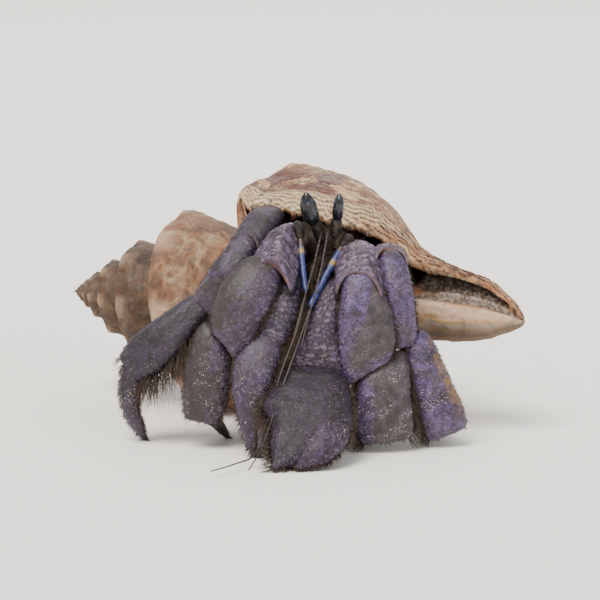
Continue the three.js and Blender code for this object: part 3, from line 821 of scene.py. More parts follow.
@dataclass
class ConchShell:
    """The horse conch: a spiral drawn as a radius over its axis, hollowed from the mouth.

    Turns and other angles are degrees, and along is the way from the apex to the canal's end.
    """

    apex: Point = (-47.8, 21.0, 21.7)
    yaw: float = 25.0
    pitch: float = 0.6
    length: float = 102.3
    growth_along: float = 1.7  # how many times longer each whorl is than the one before
    growth_out: float = 1.6
    rise: float = 6.5  # how much nearer the spire the shoulder lies on the earlier whorls
    turns: int = 7
    widest: float = 20.0  # the turn at which the last whorl stands furthest from the axis
    lip_turn: float = 30.0  # the lip's usual turn, where its own isn't known yet
    wall: float = 1.8
    knobs: int = 7
    knob_height: float = 0.105
    knob_at: float = -11.0
    shoulder: float = 49.6
    knob_reach: tuple[float, float] = (3.0, 4.8)  # towards the spire, and towards the canal
    profile: tuple[tuple[float, float], ...] = (
        (40.2, 17.6), (41, 23.2), (43.8, 25.8), (50, 27), (56, 28.5), (62, 27.8), (67, 25.9),
        (72.5, 22.3), (76, 18.4), (78.5, 15.2), (81, 12.9), (86, 10.5), (94, 8), (97.5, 5.6),
        (100.5, 3.1), (102.3, 0.6),
    )
    rows: int = 270
    columns: int = 440
    rim_degrees: float = 4.0
    ledge_pitch: float = 1.3
    cord_pitch: float = 3.1
    thin_cord_pitch: float = 0.95
    finish: ConchFinish = ConchFinish("worn_conch")

    def __post_init__(self) -> None:
        """Works out the axis and a fine copy of the profile."""
        yaw, pitch = np.radians([self.yaw, self.pitch])
        level = np.cos(pitch)
        self.axis = np.array([np.cos(yaw) * level, -np.sin(yaw) * level, np.sin(pitch)])
        self.front = np.array([-np.sin(yaw), -np.cos(yaw), 0.0])
        self.up = np.cross(self.front, self.axis)
        self.fine = self._spline(np.linspace(0, 1, 161))

    def _spline(self, share: Array) -> Array:
        """Points of the profile's smooth curve, as (n, 2)."""
        p = np.array(self.profile, float)
        held = np.vstack([p[:1], p, p[-1:]])
        place_on = share * (len(p) - 1)
        index = np.minimum(place_on.astype(int), len(p) - 2)
        w = (place_on - index)[:, None]
        a, b, c, d = (held[index + k] for k in range(4))
        leave, reach = (c - a) / 2, (d - b) / 2
        cube, square = 2 * b - 2 * c + leave + reach, -3 * b + 3 * c - 2 * leave - reach
        return cube * w**3 + square * w**2 + leave * w + b

    def point(self, along: Array, out: Array, turn: Array) -> Array:
        """A place along the axis, out from it, at an angle from straight up to the front."""
        angle = np.radians(turn)
        return (
            np.array(self.apex)
            + np.asarray(along)[..., None] * self.axis
            + (out * np.cos(angle))[..., None] * self.up
            + (out * np.sin(angle))[..., None] * self.front
        )

    def lip(self, along: Array) -> Array:
        """The turn at which the outer lip ends, for a place on the whorl's profile."""
        return 18 + 22 * smooth(39, 50, along) - 8 * smooth(64, 76, along) - 18 * smooth(74, 86, along)

    def core(self, along: Array) -> Array:
        """How much of the radius is solid behind the canal's slot and inside the hollow."""
        return 0.28 + 0.22 * smooth(76, 88, along)

    def whorl(self, along: Array, out: Array, turn: Array) -> tuple[Array, Array]:
        """Where a point of the profile lies at a turn.

        Args:
            along: The profile point's place along the axis.
            out: Its radius.
            turn: 0 at the top of the last whorl, falling towards the apex.

        Returns:
            Its place along the axis and its radius there.
        """
        late = smooth(-400, -335, turn)
        raised = self.rise * smooth(37, 50, along) * (1 - smooth(58, 74, along))
        raised = raised * (1 - smooth(-330, -90, turn))
        off_centre = 0.58 - 0.18 * smooth(80, 92, along)
        tube = 1 + off_centre * np.cos(np.radians(turn - self.widest))
        tube = tube / (1 + off_centre * np.cos(np.radians(self.widest)))
        slot = 1 - (1 - self.core(along)) * (1 - smooth(-334, -308, turn - self.lip(along)))
        size = lerp(self.growth_out ** (turn / 360), tube * slot, late * smooth(54, 82, along))
        stretch = lerp(self.growth_along ** (turn / 360), 1, late * smooth(54, 96, along))
        return (along - raised) * stretch, out * size * (1 + self.knob_height * self.knob(along, turn))

    def knob(self, along: Array, turn: Array) -> Array:
        """Height of the shoulder's knobs, from 0 to 1."""
        wave = np.maximum(0, np.cos(np.radians(self.knobs * (turn - self.knob_at))))
        reach = np.where(along < self.shoulder, *self.knob_reach)
        return wave * bell(along, self.shoulder, reach)

    def back(self, at: dict[str, Array]) -> Array:
        """How far back from the lip a place is, in millimetres round the whorl."""
        return np.radians(self.lip(at["along"]) - at["turn"]) * np.maximum(at["radius"], 6)

    def ledge(self, points: Array, at: dict[str, Array]) -> tuple[Array, Array]:
        """The growth ledges: how far along its ledge a place is, and how strong they are there."""
        back = self.back(at)
        wide = np.abs(np.cos(np.pi * at["along"] / self.cord_pitch + 0.8 * GRAIN.noise(points, 4)))
        phase = back / self.ledge_pitch + 0.55 * wide + 0.35 * GRAIN.rough(points, 3, 2)
        patches = smooth(-0.5, 0.3, GRAIN.rough(points, 7, 2))
        strong = smooth(8, 5, back) + 0.4 * smooth(30, 9, back) * patches * smooth(3, 9, back)
        return phase - np.floor(phase), np.clip(strong, 0, 1)

    def radius(self, along: Array, turn: Array) -> tuple[Array, Array]:
        """The outer surface's radius at one turn.

        Args:
            along: Places along the axis, as (n,).
            turn: The turns there, as (n,).

        Returns:
            The radius, 0 beyond the whorl's ends, and the place on the unscaled profile.
        """
        found, source = np.zeros(len(along)), np.full(len(along), 39.0)
        ends = [self.whorl(self.fine[k, 0], self.fine[k, 1], turn)[0] for k in (0, -1)]
        inside = np.flatnonzero((along >= ends[0]) & (along <= ends[1]))
        for part in np.array_split(inside, max(1, len(inside) // 8000)):
            places, radii = self.whorl(self.fine[None, :, 0], self.fine[None, :, 1], turn[part, None])
            index = np.clip((places < along[part, None]).sum(1), 1, len(self.fine) - 1)
            rows = np.arange(len(part))
            low, high = places[rows, index - 1], places[rows, index]
            share = np.clip((along[part] - low) / np.maximum(high - low, 1e-6), 0, 1)
            found[part] = lerp(radii[rows, index - 1], radii[rows, index], share)
            source[part] = lerp(self.fine[index - 1, 0], self.fine[index, 0], share)
        return found, source

    def wound(self, along: Array, turn: Array) -> dict[str, Array]:
        """The outermost surface of all that is wound on the axis by a turn.

        Args:
            along: Places along the axis, as (n,).
            turn: The turns there, as (n,).

        Returns:
            Its radius, and the whorl's own place on the profile and turn.
        """
        best = 0.5 * np.sqrt(np.maximum(0, np.minimum(along, 6 - along)))
        source, own = np.full(len(along), 45.0), np.array(turn, float)
        for n in range(self.turns):
            radius, where = self.radius(along, turn - 360 * n)
            larger = radius > best
            best = np.where(larger, radius, best)
            source = np.where(larger, where, source)
            own = np.where(larger, turn - 360 * n, own)
        return {"radius": best, "along": source, "turn": own}

    def relief(self, points: Array, at: dict[str, Array], along: Array) -> Array:
        """Sculpture of the outer surface, in millimetres out from the axis.

        Args:
            points: The surface's places.
            at: What wound() says there.
            along: Places along the axis.

        Returns:
            The height.
        """
        growth = at["turn"] - self.lip(at["along"])
        scale = np.clip(self.growth_out ** (growth / 360), 0.12, 1)
        body = smooth(2, 12, along)
        cords = np.cos(2 * np.pi * at["along"] / self.cord_pitch) * 0.09
        wave = 2 * np.pi * at["along"] / self.thin_cord_pitch
        thin_cords = np.cos(wave + 3 * GRAIN.noise(points, 9)) * 0.035
        across = growth * 0.9 + 3 * GRAIN.noise(points, 4)
        lines = np.stack([across, at["along"] * 0.22, growth * 0], axis=-1)
        on, strong = self.ledge(points, at)
        lamellae = GRAIN.rough(lines, 3.4, 3) * 0.1
        lamellae = lamellae + 0.4 * strong * (1 - on) ** 0.7 * smooth(1, 0.93, on)
        folds = 0.55 * np.maximum(0, np.cos(np.radians(self.knobs * (at["turn"] - self.knob_at)))) ** 2
        folds = folds * bell(at["along"], 56, 8) * smooth(-90, -200, growth)
        worn = GRAIN.rough(points, 5.5, 4) * 0.16 + GRAIN.rough(points, 1.3, 2) * 0.05
        return body * (scale * (cords + thin_cords + lamellae + folds) + worn * np.sqrt(scale))

    def filled(self) -> Solid:
        """The shell as if it were filled up, with a rounded step where the lip ends."""
        share = np.linspace(0, 1, self.rows + 2)[1:-1]
        along = self.length * share * (0.62 + 0.38 * share**2)
        lip = self.lip(along / self.growth_along ** (self.lip_turn / 360))
        lip = lip + 0.9 * np.sin(along * 1.9) * smooth(30, 45, along) + 0.5 * np.sin(along * 4.7 + 1)
        close = np.linspace(1 - 56 / 360, 1 - self.rim_degrees / 360, self.columns // 2)
        even = np.linspace(0, close[0], self.columns - 24 - len(close) + 1)
        rim = 1 - (self.rim_degrees / 360) * np.linspace(1, 0, 25) ** 1.5
        back = np.concatenate([even[:-1], close, rim[1:]])
        turn = lip[:, None] - 360 * (1 - back)[None, :]
        grid_along = np.broadcast_to(along[:, None], turn.shape)
        at = self.wound(grid_along.ravel(), turn.ravel())
        radius = at["radius"]
        points = self.point(grid_along.ravel(), radius, turn.ravel())
        radius = radius + self.relief(points, at, grid_along.ravel())
        radius = radius.reshape(turn.shape)
        inward = np.clip((turn - lip[:, None] + self.rim_degrees) / self.rim_degrees, 0, 1)
        last = at["turn"].reshape(turn.shape) > lip[:, None] - 40
        rounding = 0.85 * (1 - np.sqrt(1 - inward**2))
        radius = radius - last * self.wall * rounding * smooth(36, 42, grid_along)
        rings = self.point(grid_along, np.maximum(radius, 0.02), turn)
        tip = np.array(self.apex)
        return Solid.over_rings(rings, tip, tip + self.axis * self.length).outward()

    def hollow(self, sections: int = 90, across: int = 40) -> Solid:
        """The last whorl's hollow: a tube that follows it in from the mouth and narrows."""
        share = np.linspace(0.15, 0.9, across + 1)
        profile = self._spline(share)
        rings = []
        mouth, deep = np.linspace(14, -46, 31)[:-1], np.linspace(-46, -290, sections - 30)
        for back in np.concatenate([mouth, deep]):
            lip = self.lip(profile[:, 0])
            turn = lip + back
            along, out = self.whorl(profile[:, 0], profile[:, 1], np.minimum(turn, lip))
            wall = np.minimum(self.wall, out * (0.24 - 0.12 * smooth(76, 88, along)))
            floor = np.maximum(self.radius(along, turn - 360)[0], self.core(along) * out) + 0.4
            shut = smooth(77, 83, along) * smooth(-8, -30, back)
            floor = lerp(floor, np.maximum(out - wall - 0.3, floor), shut)
            roof = np.maximum(out - wall, floor + 0.3)
            above, below = self.point(along, roof, turn), self.point(along, floor, turn)
            rings.append(np.vstack([above, below[::-1]]))
        rings = np.array(rings)
        return Solid.over_rings(rings, rings[0].mean(0), rings[-1].mean(0)).outward()

    def carved(self) -> bpy.types.Mesh:
        """The filled shell with its hollow cut out."""
        body = add_object("conch_body", mesh_of("conch_body", self.filled()))
        cutter = add_object("conch_hollow", mesh_of("conch_hollow", self.hollow()))
        cut = body.modifiers.new("hollow", "BOOLEAN")
        cut.object, cut.operation, cut.solver = cutter, "DIFFERENCE", "MANIFOLD"
        carved = evaluated(body)
        if len(carved.vertices) <= len(body.data.vertices) // 2:
            cut.solver = "EXACT"
            carved = evaluated(body)
        for scratch in (body, cutter):
            bpy.data.objects.remove(scratch)
        return carved

    def place_on_axis(self, points: Array) -> tuple[Array, Array, Array]:
        """Place along the axis, out from it and turn of points in layout millimetres."""
        away = points - np.array(self.apex)
        along = away @ self.axis
        angle = np.degrees(np.arctan2(away @ self.front, away @ self.up))
        out = np.linalg.norm(away - along[:, None] * self.axis, axis=1)
        lip = self.lip(along / self.growth_along ** (self.lip_turn / 360))
        turn = lip - np.mod(lip + 0.4 - angle, 360) + 0.4
        return along, out, turn

    def build(self) -> None:
        """Makes the shell's piece and the marks that its finish reads."""
        mesh = self.carved()
        mesh.name = "conch"
        along, out, turn = self.place_on_axis(layout_points(mesh))
        at = self.wound(along, turn)
        depth = at["radius"] - out
        growth = at["turn"] - self.lip(at["along"])
        near_lip = smooth(-6, -1, growth)
        on, strong = self.ledge(layout_points(mesh), at)
        # The ledge mark lies at the foot of each ledge, where its painted shadow is laid.
        set_mark(mesh, "ledge", smooth(0.55, 0.95, on) * strong)
        seam = smooth(28, 37, along) * smooth(-200, -260, growth)
        set_mark(mesh, "stain", seam * smooth(60, 50, at["along"]))
        set_mark(mesh, "growth", growth)
        set_mark(mesh, "band", at["along"])
        set_mark(mesh, "back", self.back(at))
        rim = 0.6 * near_lip * smooth(2.6, 2, depth)
        set_mark(mesh, "inside", smooth(0.75, 1.15, depth) * (1 - rim))
        set_mark(mesh, "knob", self.knob(at["along"], at["turn"]) * smooth(-60, -160, growth))
        mesh.shade_smooth()
        place("conch", mesh, self.finish, Slot.SHELL, "shell")


# ---- Plates --------------------------------------------------------------------------------

POCKET_RINGS = 7  # rings that line the hollow in a plate's far end


@dataclass(frozen=True)
class Relief:
    """How a kind of plate is sculpted, in millimetres unless it says otherwise."""

    near_cap: float = 0.16  # share of the length that rounds off at the near end
    far_cap: float = 0.12
    mouth: float = 0.8  # width of the far opening, as a share of the plate's
    lobes: float = 0.0  # how far the sides of the far margin reach on
    arch: float = 0.0  # how far its middle draws back
    under: float = 0.0  # how far its underside draws back
    rim: float = 0.1
    pocket: float = 1.4  # depth of the hollow that holds the next plate
    scales: float = 0.0  # height of the wrinkled scales across the plate
    scale_pitch: float = 1.0
    beads: float = 0.09
    bead_pitch: float = 0.85
    edge_beads: float = 0.13


class Segment(Enum):
    """The kinds of plate, and how each is sculpted."""

    MERUS = Relief(far_cap=0.1, mouth=0.9, lobes=2.4, arch=0.5, under=3.0, rim=0.2, pocket=2.2,
                   scales=0.22, scale_pitch=1.05, beads=0.0, edge_beads=0.06)
    SMOOTH_MERUS = Relief(near_cap=0.1, far_cap=0.08, mouth=0.92, lobes=1.2, arch=0.3, under=2.0,
                          rim=0.25, pocket=2.0, beads=0.05, edge_beads=0.1)
    CARPUS = Relief(lobes=0.3, edge_beads=0.2)
    RIDGED_CARPUS = Relief(far_cap=0.08, mouth=0.88, lobes=0.3, scales=0.13, scale_pitch=1.15,
                           beads=0.05)
    PROPODUS = Relief(near_cap=0.12, far_cap=0.12, mouth=0.72, pocket=0.8, edge_beads=0.2)
    PALM = Relief(near_cap=0.08, far_cap=0.24, rim=0.0, pocket=0.0, beads=0.07, bead_pitch=1.0)
    TIP = Relief(near_cap=0.16, far_cap=0.3, rim=0.0, pocket=0.0, beads=0.04, bead_pitch=0.7,
                 edge_beads=0.05)
    SMALL = Relief(near_cap=0.3, far_cap=0.3, rim=0.0, pocket=0.0, beads=0.0, edge_beads=0.0)


@dataclass(frozen=True)
class Patch:
    """A plate's smooth grey patch, whose border runs aslant over the outer face."""

    start: float  # share of the way along the plate
    side: float  # where the border crosses the plate at the start, from -1 to 1
    slope: float
    end: float
    towards: int  # the side of the border that the patch lies on, -1 or 1


@dataclass
class Plate:
    """One plate of the armour: a path, half-widths and half-depths along it, and where it faces.

    A side of -1 is the viewer's right edge of the outer face and 1 the left one.
    """

    path: tuple[Point, ...]
    width: tuple[float, ...]
    depth: tuple[float, ...]
    face: Point
    segment: Segment = Segment.PROPODUS
    patch: Patch | None = None
    keel: tuple[float, float] | None = None  # ridge along the face: its side and height
    slant: float = 0.0  # how much further the far margin's left side reaches than its middle
    near_slant: float = 0.0  # how much further back the near end's left side reaches
    ochre: float = 0.0
    added_shade: float = 0.0  # how much painted shade darkens the whole plate
    fringe: tuple[float, float, float] = (1.1, 1.1, 0.9)  # bristles on the left, right and far edges
    rings: int = 116
    sides: int = 116
    boxy: float = 0.42

    def frame_at(self, t: Array) -> tuple[Array, Array, Array, Array]:
        """Centre, direction, sideways and outward vectors at shares of the way."""
        curve = PathCurve(self.path)
        centre, along = curve.at(t), curve.direction(t)
        across = unit(np.cross(along, unit(self.face)))
        return centre, along, across, unit(np.cross(across, along))

    def section(self) -> tuple[Array, Array]:
        """The section's outline: sideways and outward shares, closer together on the outer face."""
        angle = np.linspace(0, 2 * np.pi, 1441)
        cos, sin = np.cos(angle), np.sin(angle)
        flat = np.where(sin > 0, self.boxy, lerp(self.boxy, 1, 0.7))
        side = np.sign(cos) * np.abs(cos) ** flat
        lift = np.sign(sin) * np.abs(sin) ** lerp(self.boxy, 1, 0.45)
        step = np.hypot(np.diff(side) * np.mean(self.width), np.diff(lift) * np.mean(self.depth))
        step = step * np.where(lift[1:] > -0.1, 1.0, 0.45)
        place_on = np.concatenate([[0], np.cumsum(step)])
        even = np.linspace(0, place_on[-1], self.sides + 1)[:-1]
        return np.interp(even, place_on, side)[None], np.interp(even, place_on, lift)[None]

    def shape_at(self, t: Array, inset: Array = 0.0, tuck: Array = 0.0) -> Array:
        """Surface points before the fine sculpture.

        Args:
            t: Shares of the way along the plate, as (n, 1).
            inset: How far inside the outline, in millimetres.
            tuck: How far back along the path, in millimetres.

        Returns:
            The points, as (n, sides, 3).
        """
        relief = self.segment.value
        side, lift = self.section()
        centre, along, across, out = (v[:, None, :] for v in self.frame_at(t[:, 0]))
        near = np.sqrt(1 - (1 - np.clip(t / relief.near_cap, 0, 1)) ** 2)
        far = np.sqrt(1 - (1 - np.clip((1 - t) / relief.far_cap, 0, 1)) ** 2)
        round_off = near * (far if not relief.pocket else lerp(relief.mouth, 1, far))
        x = side * (read_along(self.width, t) * round_off - inset)
        y = lift * (read_along(self.depth, t) * round_off - inset)
        outer = np.clip(lift, 0, 1)
        if self.keel is not None:
            at, height = self.keel
            slope = 1 - np.abs(side - at) / np.where(side > at, 1 - at, 1 + at)
            y = y + height * slope * outer * near * far
        reach = relief.lobes * side**2 - relief.arch * outer**2
        reach = reach - relief.under * np.clip(-lift, 0, 1) ** 1.5 + self.slant * side
        back = self.near_slant * side * near * smooth(0.55, 0.0, t)
        shift = reach * smooth(0.4, 1.0, t) - back - tuck
        return centre + along * shift[..., None] + across * x[..., None] + out * y[..., None]

    def solid(self) -> Solid:
        """The plate with its wrinkles, beads and margin, and the marks of its finish."""
        relief = self.segment.value
        t = ((1 - np.cos(np.pi * np.arange(1, self.rings) / self.rings)) / 2)[:, None]
        points = self.shape_at(t)
        side, lift = self.section()
        marks, height = self._sculpture(points, t, side, lift)
        points = points + grid_normals(points) * height[..., None]
        facing = smooth(-0.25, 0.45, lift)
        beside = smooth(0.35, 0.7, -side) * smooth(0.05, 0.35, t) * smooth(0.95, 0.6, t)
        # Painted shade: darker at the near end where the plate tucks in, on the faces that turn away,
        # in a thin strip along the side edges for the gaps' shade, and over the whole plate by its own
        # added amount.
        painted_shade = 0.6 * smooth(0.1, 0.0, t)
        painted_shade = self.added_shade + 1 - facing + painted_shade + 0.7 * smooth(0.975, 1.0, np.abs(side))
        marks |= {
            "patch": self._patch(points, t, side) * facing,
            "edge": np.clip(smooth(0.55, 0.95, np.abs(side)) + smooth(0.85, 1, t), 0, 1),
            "margin": bell(t, 1.0, 0.014) * facing * (relief.rim > 0),
            "ochre": self.ochre * beside * facing,
            "dusty": np.clip(0.15 + smooth(27, 3, points[..., 2]), 0, 1),
            "shade": np.clip(painted_shade, 0, 1),
        }
        if relief.pocket:
            steps = np.linspace(0.15, 1, POCKET_RINGS)
            inset = 0.35 * np.sin(np.pi / 2 * np.clip(steps * 2, 0, 1)) + 0.4 * steps
            tuck = relief.pocket * steps**1.4
            inner = self.shape_at(np.ones((POCKET_RINGS, 1)), inset[:, None], tuck[:, None])
            points = np.concatenate([points, inner])
            # The hollow in the far end is painted fully in shade.
            for name, value in marks.items():
                level = 1.0 if name == "shade" else 0.0
                marks[name] = np.concatenate([value, np.full((POCKET_RINGS, self.sides), level)])
        start = PathCurve(self.path).at(0.0)
        return Solid.over_rings(points, start, points[-1].mean(0), marks).outward()

    def _sculpture(
        self, points: Array, t: Array, side: Array, lift: Array
    ) -> tuple[dict[str, Array], Array]:
        """The marks of the fine sculpture, and its height in millimetres."""
        relief = self.segment.value
        length = PathCurve(self.path).length()
        outer = smooth(-0.3, 0.2, lift) + 0 * t
        far_down, inward = t * length + 0 * side, (1 - np.abs(side)) * read_along(self.width, t)
        local = np.stack([far_down, inward, 7 * np.sign(side) + 20 * (lift < 0) + 0 * t], axis=-1)
        height = GRAIN.rough(points, 6.0, 2) * 0.14 + GRAIN.rough(points, 1.6, 3) * 0.035
        near_edge = np.clip(smooth(0.3, 0.85, np.abs(side)) + smooth(0.7, 1, t), 0, 1)
        uneven = local + 0.1 * GRAIN.rough(points, 1.0, 1)[..., None]
        away, _, own = GRAIN.cells(uneven, relief.bead_pitch)
        chosen = (own < 0.2 + 0.7 * near_edge) * outer
        bead = smooth(0.48, 0.12, away) * chosen
        # Beside each bead lies a small dip, darkened as the bead's painted shadow.
        shadow, _, shadow_own = GRAIN.cells(local - [0.3 * relief.bead_pitch, 0, 0], relief.bead_pitch)
        pit_and_bead_shadow = smooth(0.42, 0.15, shadow) * (shadow_own < 0.2 + 0.7 * near_edge) * (1 - bead) * outer
        height = height + relief.beads * (bead - 0.5 * pit_and_bead_shadow)
        row = 0.5 + 0.5 * np.cos(2 * np.pi * far_down / 0.8 + 4 * GRAIN.noise(points, 3))
        edge = bell(np.abs(side), 0.97, 0.05) * outer * smooth(0.03, 0.15, t)
        height = height + relief.edge_beads * edge * row
        groove = smooth(0.4, 0.9, -GRAIN.rough(points, 1.8, 3)) * 0.3
        crest = 0.2 * edge * row
        if relief.scales:
            crosswise = side * np.mean(self.width) * 0.8 + 0 * t
            wrinkled = np.stack([far_down * 1.5, crosswise, local[..., 2]], axis=-1)
            wrinkled = wrinkled + 0.4 * GRAIN.rough(points, 1.6, 2)[..., None]
            near, gap, tone = GRAIN.cells(wrinkled, relief.scale_pitch)
            plateau = smooth(0.02, 0.3, gap)
            zone = outer * smooth(0.0, 0.15, t) * smooth(1.0, 0.9, t)
            crown = plateau * (0.7 + 0.3 * smooth(0.7, 0.1, near))
            height = height + relief.scales * (crown - 0.5) * zone
            # The creases between scales are darkened as painted shade, and the scales' tops lightened
            # as a painted highlight.
            groove = groove + zone * (1 - smooth(0.0, 0.16, gap))
            crest = crest + zone * smooth(0.2, 0.5, gap) * (0.2 + 0.8 * tone)
        row = 0.5 + 0.5 * np.cos(2 * np.pi * side * np.mean(self.width) / 0.7)
        rim = relief.rim * bell(t, 0.975, 0.018) * outer * (0.5 + 0.5 * row)
        groove, crest = np.clip(groove, 0, 1), np.clip(crest, 0, 1)
        return {"groove": groove, "crest": crest, "pit_and_bead_shadow": pit_and_bead_shadow, "bead": bead}, height + rim

    def _patch(self, points: Array, t: Array, side: Array) -> Array:
        """Mark of the plate's smooth grey patch."""
        patch = self.patch
        if patch is None:
            return np.zeros(points.shape[:2])
        past = patch.towards * (side - patch.side - patch.slope * (t - patch.start))
        past = past + 0.06 * GRAIN.rough(points, 5, 2)
        begun = smooth(patch.start - 0.06, patch.start - 0.02, t)
        return smooth(-0.02, 0.03, past) * begun * smooth(patch.end + 0.02, patch.end - 0.02, t)


# Each plate's path, half-widths, half-depths and outward direction are those of its solid.
LEFT_LEG_2 = {
    "dactyl": Plate(((16.4, -36, 3.4), (14, -30, 3.2), (10.5, -24, -0.6)),
                    (1.9, 1.7, 1.1, 0.5), (1.8, 1.5, 1, 0.5), (0, -0.3, 1), Segment.TIP, boxy=0.8),
    "propodus": Plate(((16.3, -36, 18.6), (16.2, -38.6, 10.4), (16.9, -37.6, 2.2)),
                      (3.8, 5.1, 5.5, 5.7, 5.4), (2.4, 3.2, 3.3, 3, 2.4), (0.12, -1, 0.1),
                      Segment.PROPODUS, Patch(0.0, 0.35, 0.15, 1.1, -1), (0.1, 0.5), near_slant=-2.6,
                      fringe=(3.2, 2.6, 1)),
    "carpus": Plate(((11.2, -34.8, 36.4), (12.7, -38.2, 26.4), (13, -38.4, 16)),
                    (2.9, 4.2, 5.4, 5.6, 4.8), (2.4, 3.2, 3.5, 3.3, 2.8), (0.1, -1, 0.25),
                    Segment.CARPUS, Patch(0.25, -0.4, 1.9, 0.87, -1), (-0.1, 0.4), slant=2.2,
                    fringe=(1.1, 1.6, 1.6)),
    "merus": Plate(((9, -21, 33.5), (11.4, -29, 35), (11.4, -36.8, 31.4)),
                   (3.2, 4.3, 4.9, 4.7), (3.6, 5, 5.6, 4.8), (0, -0.35, 1),
                   Segment.MERUS, slant=-0.6, boxy=0.75),
}
LEFT_LEG_3 = {
    "dactyl": Plate(((28.4, -32, 4.6), (28.6, -26.6, 4.6), (27.4, -19.6, -0.6)),
                    (1.9, 1.7, 1.1, 0.5), (1.7, 1.5, 1, 0.5), (0, -0.3, 1), Segment.TIP, boxy=0.8),
    "propodus": Plate(((21.9, -33.4, 22.8), (25.6, -34.6, 12.6), (29, -33, 2.6)),
                      (2.6, 3.4, 3.9, 4.4, 4.4), (2.2, 2.9, 3, 2.8, 2.2), (0.2, -1, 0.15),
                      Segment.PROPODUS, None, (-0.25, 0.7), near_slant=-1.2, ochre=1.0,
                      fringe=(2.8, 1, 1)),
    "carpus": Plate(((17.2, -31.6, 39), (19.1, -35.4, 30), (19.9, -34.8, 20.6)),
                    (2.1, 2.8, 3, 2.9, 2.9), (2.2, 2.8, 3, 2.9, 2.4), (0.25, -1, 0.3),
                    Segment.CARPUS, None, (0.1, 0.4), fringe=(1.1, 1.1, 3.6)),
    "merus": Plate(((14, -21, 33.5), (17.2, -27, 35.8), (17.6, -32.4, 36.2)),
                   (2.6, 3.4, 3.6, 3.4), (2.8, 3.4, 3.6, 3.4), (0.2, -0.4, 1),
                   Segment.MERUS, boxy=0.75),
}
RIGHT_LEG_2 = {
    "dactyl": Plate(((-18.6, -34.6, 7), (-17.2, -31, 5), (-14, -24.4, -0.6)),
                    (2, 1.8, 1.2, 0.5), (1.8, 1.6, 1.1, 0.5), (0, -0.4, 1), Segment.TIP, boxy=0.8),
    "propodus": Plate(((-16.4, -33.6, 24.4), (-17.8, -36, 15.8), (-19.2, -35.4, 5.6)),
                      (2.4, 3.8, 4.4, 4.4, 3.6), (2.2, 2.9, 3, 2.8, 2.2), (-0.25, -1, 0.1),
                      Segment.PROPODUS, Patch(0.0, 0.0, -0.3, 1.1, 1), (-0.15, 0.5), near_slant=1.6),
    "carpus": Plate(((-5.6, -33, 37.6), (-10.8, -37.4, 29.8), (-14.6, -37.8, 21.4)),
                    (3, 4.7, 5.3, 4.9, 3.4), (2.4, 3.3, 3.5, 3, 2.4), (-0.25, -1, 0.25),
                    Segment.CARPUS, Patch(0.12, 0.15, 0.3, 0.9, 1), (-0.05, 0.5), slant=-1.2),
    "merus": Plate(((0.5, -20, 35), (-3.6, -28, 37), (-5.4, -35.8, 33)),
                   (2.2, 3.8, 4.9, 4.8), (2.6, 4, 4.4, 4), (-0.15, -0.35, 1),
                   Segment.MERUS, None, (-0.45, 3.0), slant=-0.9, boxy=0.9),
}
RIGHT_LEG_3 = {
    "dactyl": Plate(((-33, -29.6, 17), (-33.6, -31, 8), (-30.6, -27.6, -0.6)),
                    (2.3, 2.1, 1.4, 0.55), (2.1, 1.8, 1.2, 0.55), (-0.4, -1, 0.1),
                    Segment.TIP, boxy=0.8),
    "propodus": Plate(((-17.6, -29, 29), (-26, -30.8, 21.4), (-33.8, -29.6, 14.6)),
                      (2.4, 3.3, 4.1, 4.4, 3.6), (2.2, 2.8, 3, 2.8, 2.4), (-0.3, -1, 0.45),
                      Segment.PROPODUS, None, (0.3, 0.5), added_shade=0.6, fringe=(1, 6, 3)),
    "carpus": Plate(((-9, -27, 41.4), (-14, -30.4, 34.4), (-18.6, -30.4, 27.2)),
                    (2.1, 2.7, 3, 3, 2.8), (2.2, 2.8, 3, 2.8, 2.4), (-0.3, -1, 0.35),
                    Segment.CARPUS, None, (0.1, 0.4)),
    "merus": Plate(((-4, -13, 42), (-6.8, -21.5, 43), (-10.4, -28.2, 39)),
                   (2.6, 3, 3.4, 3.3), (2.4, 3, 3.2, 3), (-0.3, -0.8, 0.8),
                   Segment.SMOOTH_MERUS, added_shade=0.4, boxy=0.6),
}
LEFT_CLAW = {
    "finger": Plate(((5.8, -46.8, 7.4), (5.4, -51.8, 5.2), (-0.6, -56.4, 0.6)),
                    (3.2, 3.8, 3.2, 1.2), (2.8, 3.2, 2.6, 1), (0.3, -0.8, 0.8), Segment.TIP, boxy=0.75),
    "palm": Plate(((3.4, -38.4, 16.4), (2.1, -43.8, 10.4), (0.2, -49.4, 5.6), (-5.2, -56.8, 0.5)),
                  (5, 6.6, 8.2, 9.2, 7, 4.2, 1.4), (3.4, 4.8, 5.2, 5, 4, 2.8, 0.9), (0, -0.8, 0.6),
                  Segment.PALM, near_slant=-0.4, added_shade=0.62, fringe=(3, 2, 1), boxy=0.5),
    "carpus": Plate(((6.8, -31.6, 33.8), (4.6, -37, 23.8), (3.6, -39, 14.4)),
                    (1.8, 2.8, 3.6, 4.7, 5.3), (2.2, 3, 3.5, 3.8, 3.4), (-0.1, -1, 0.3),
                    Segment.RIDGED_CARPUS, slant=-0.8, fringe=(3.6, 1.6, 1.6), boxy=0.6),
    "merus": Plate(((5, -22, 29), (5.6, -27, 30.5), (6.2, -31.6, 30)),
                   (3, 3.6, 3.6, 3), (3, 3.8, 3.8, 3), (0, -0.3, 1), Segment.CARPUS, boxy=0.8),
}
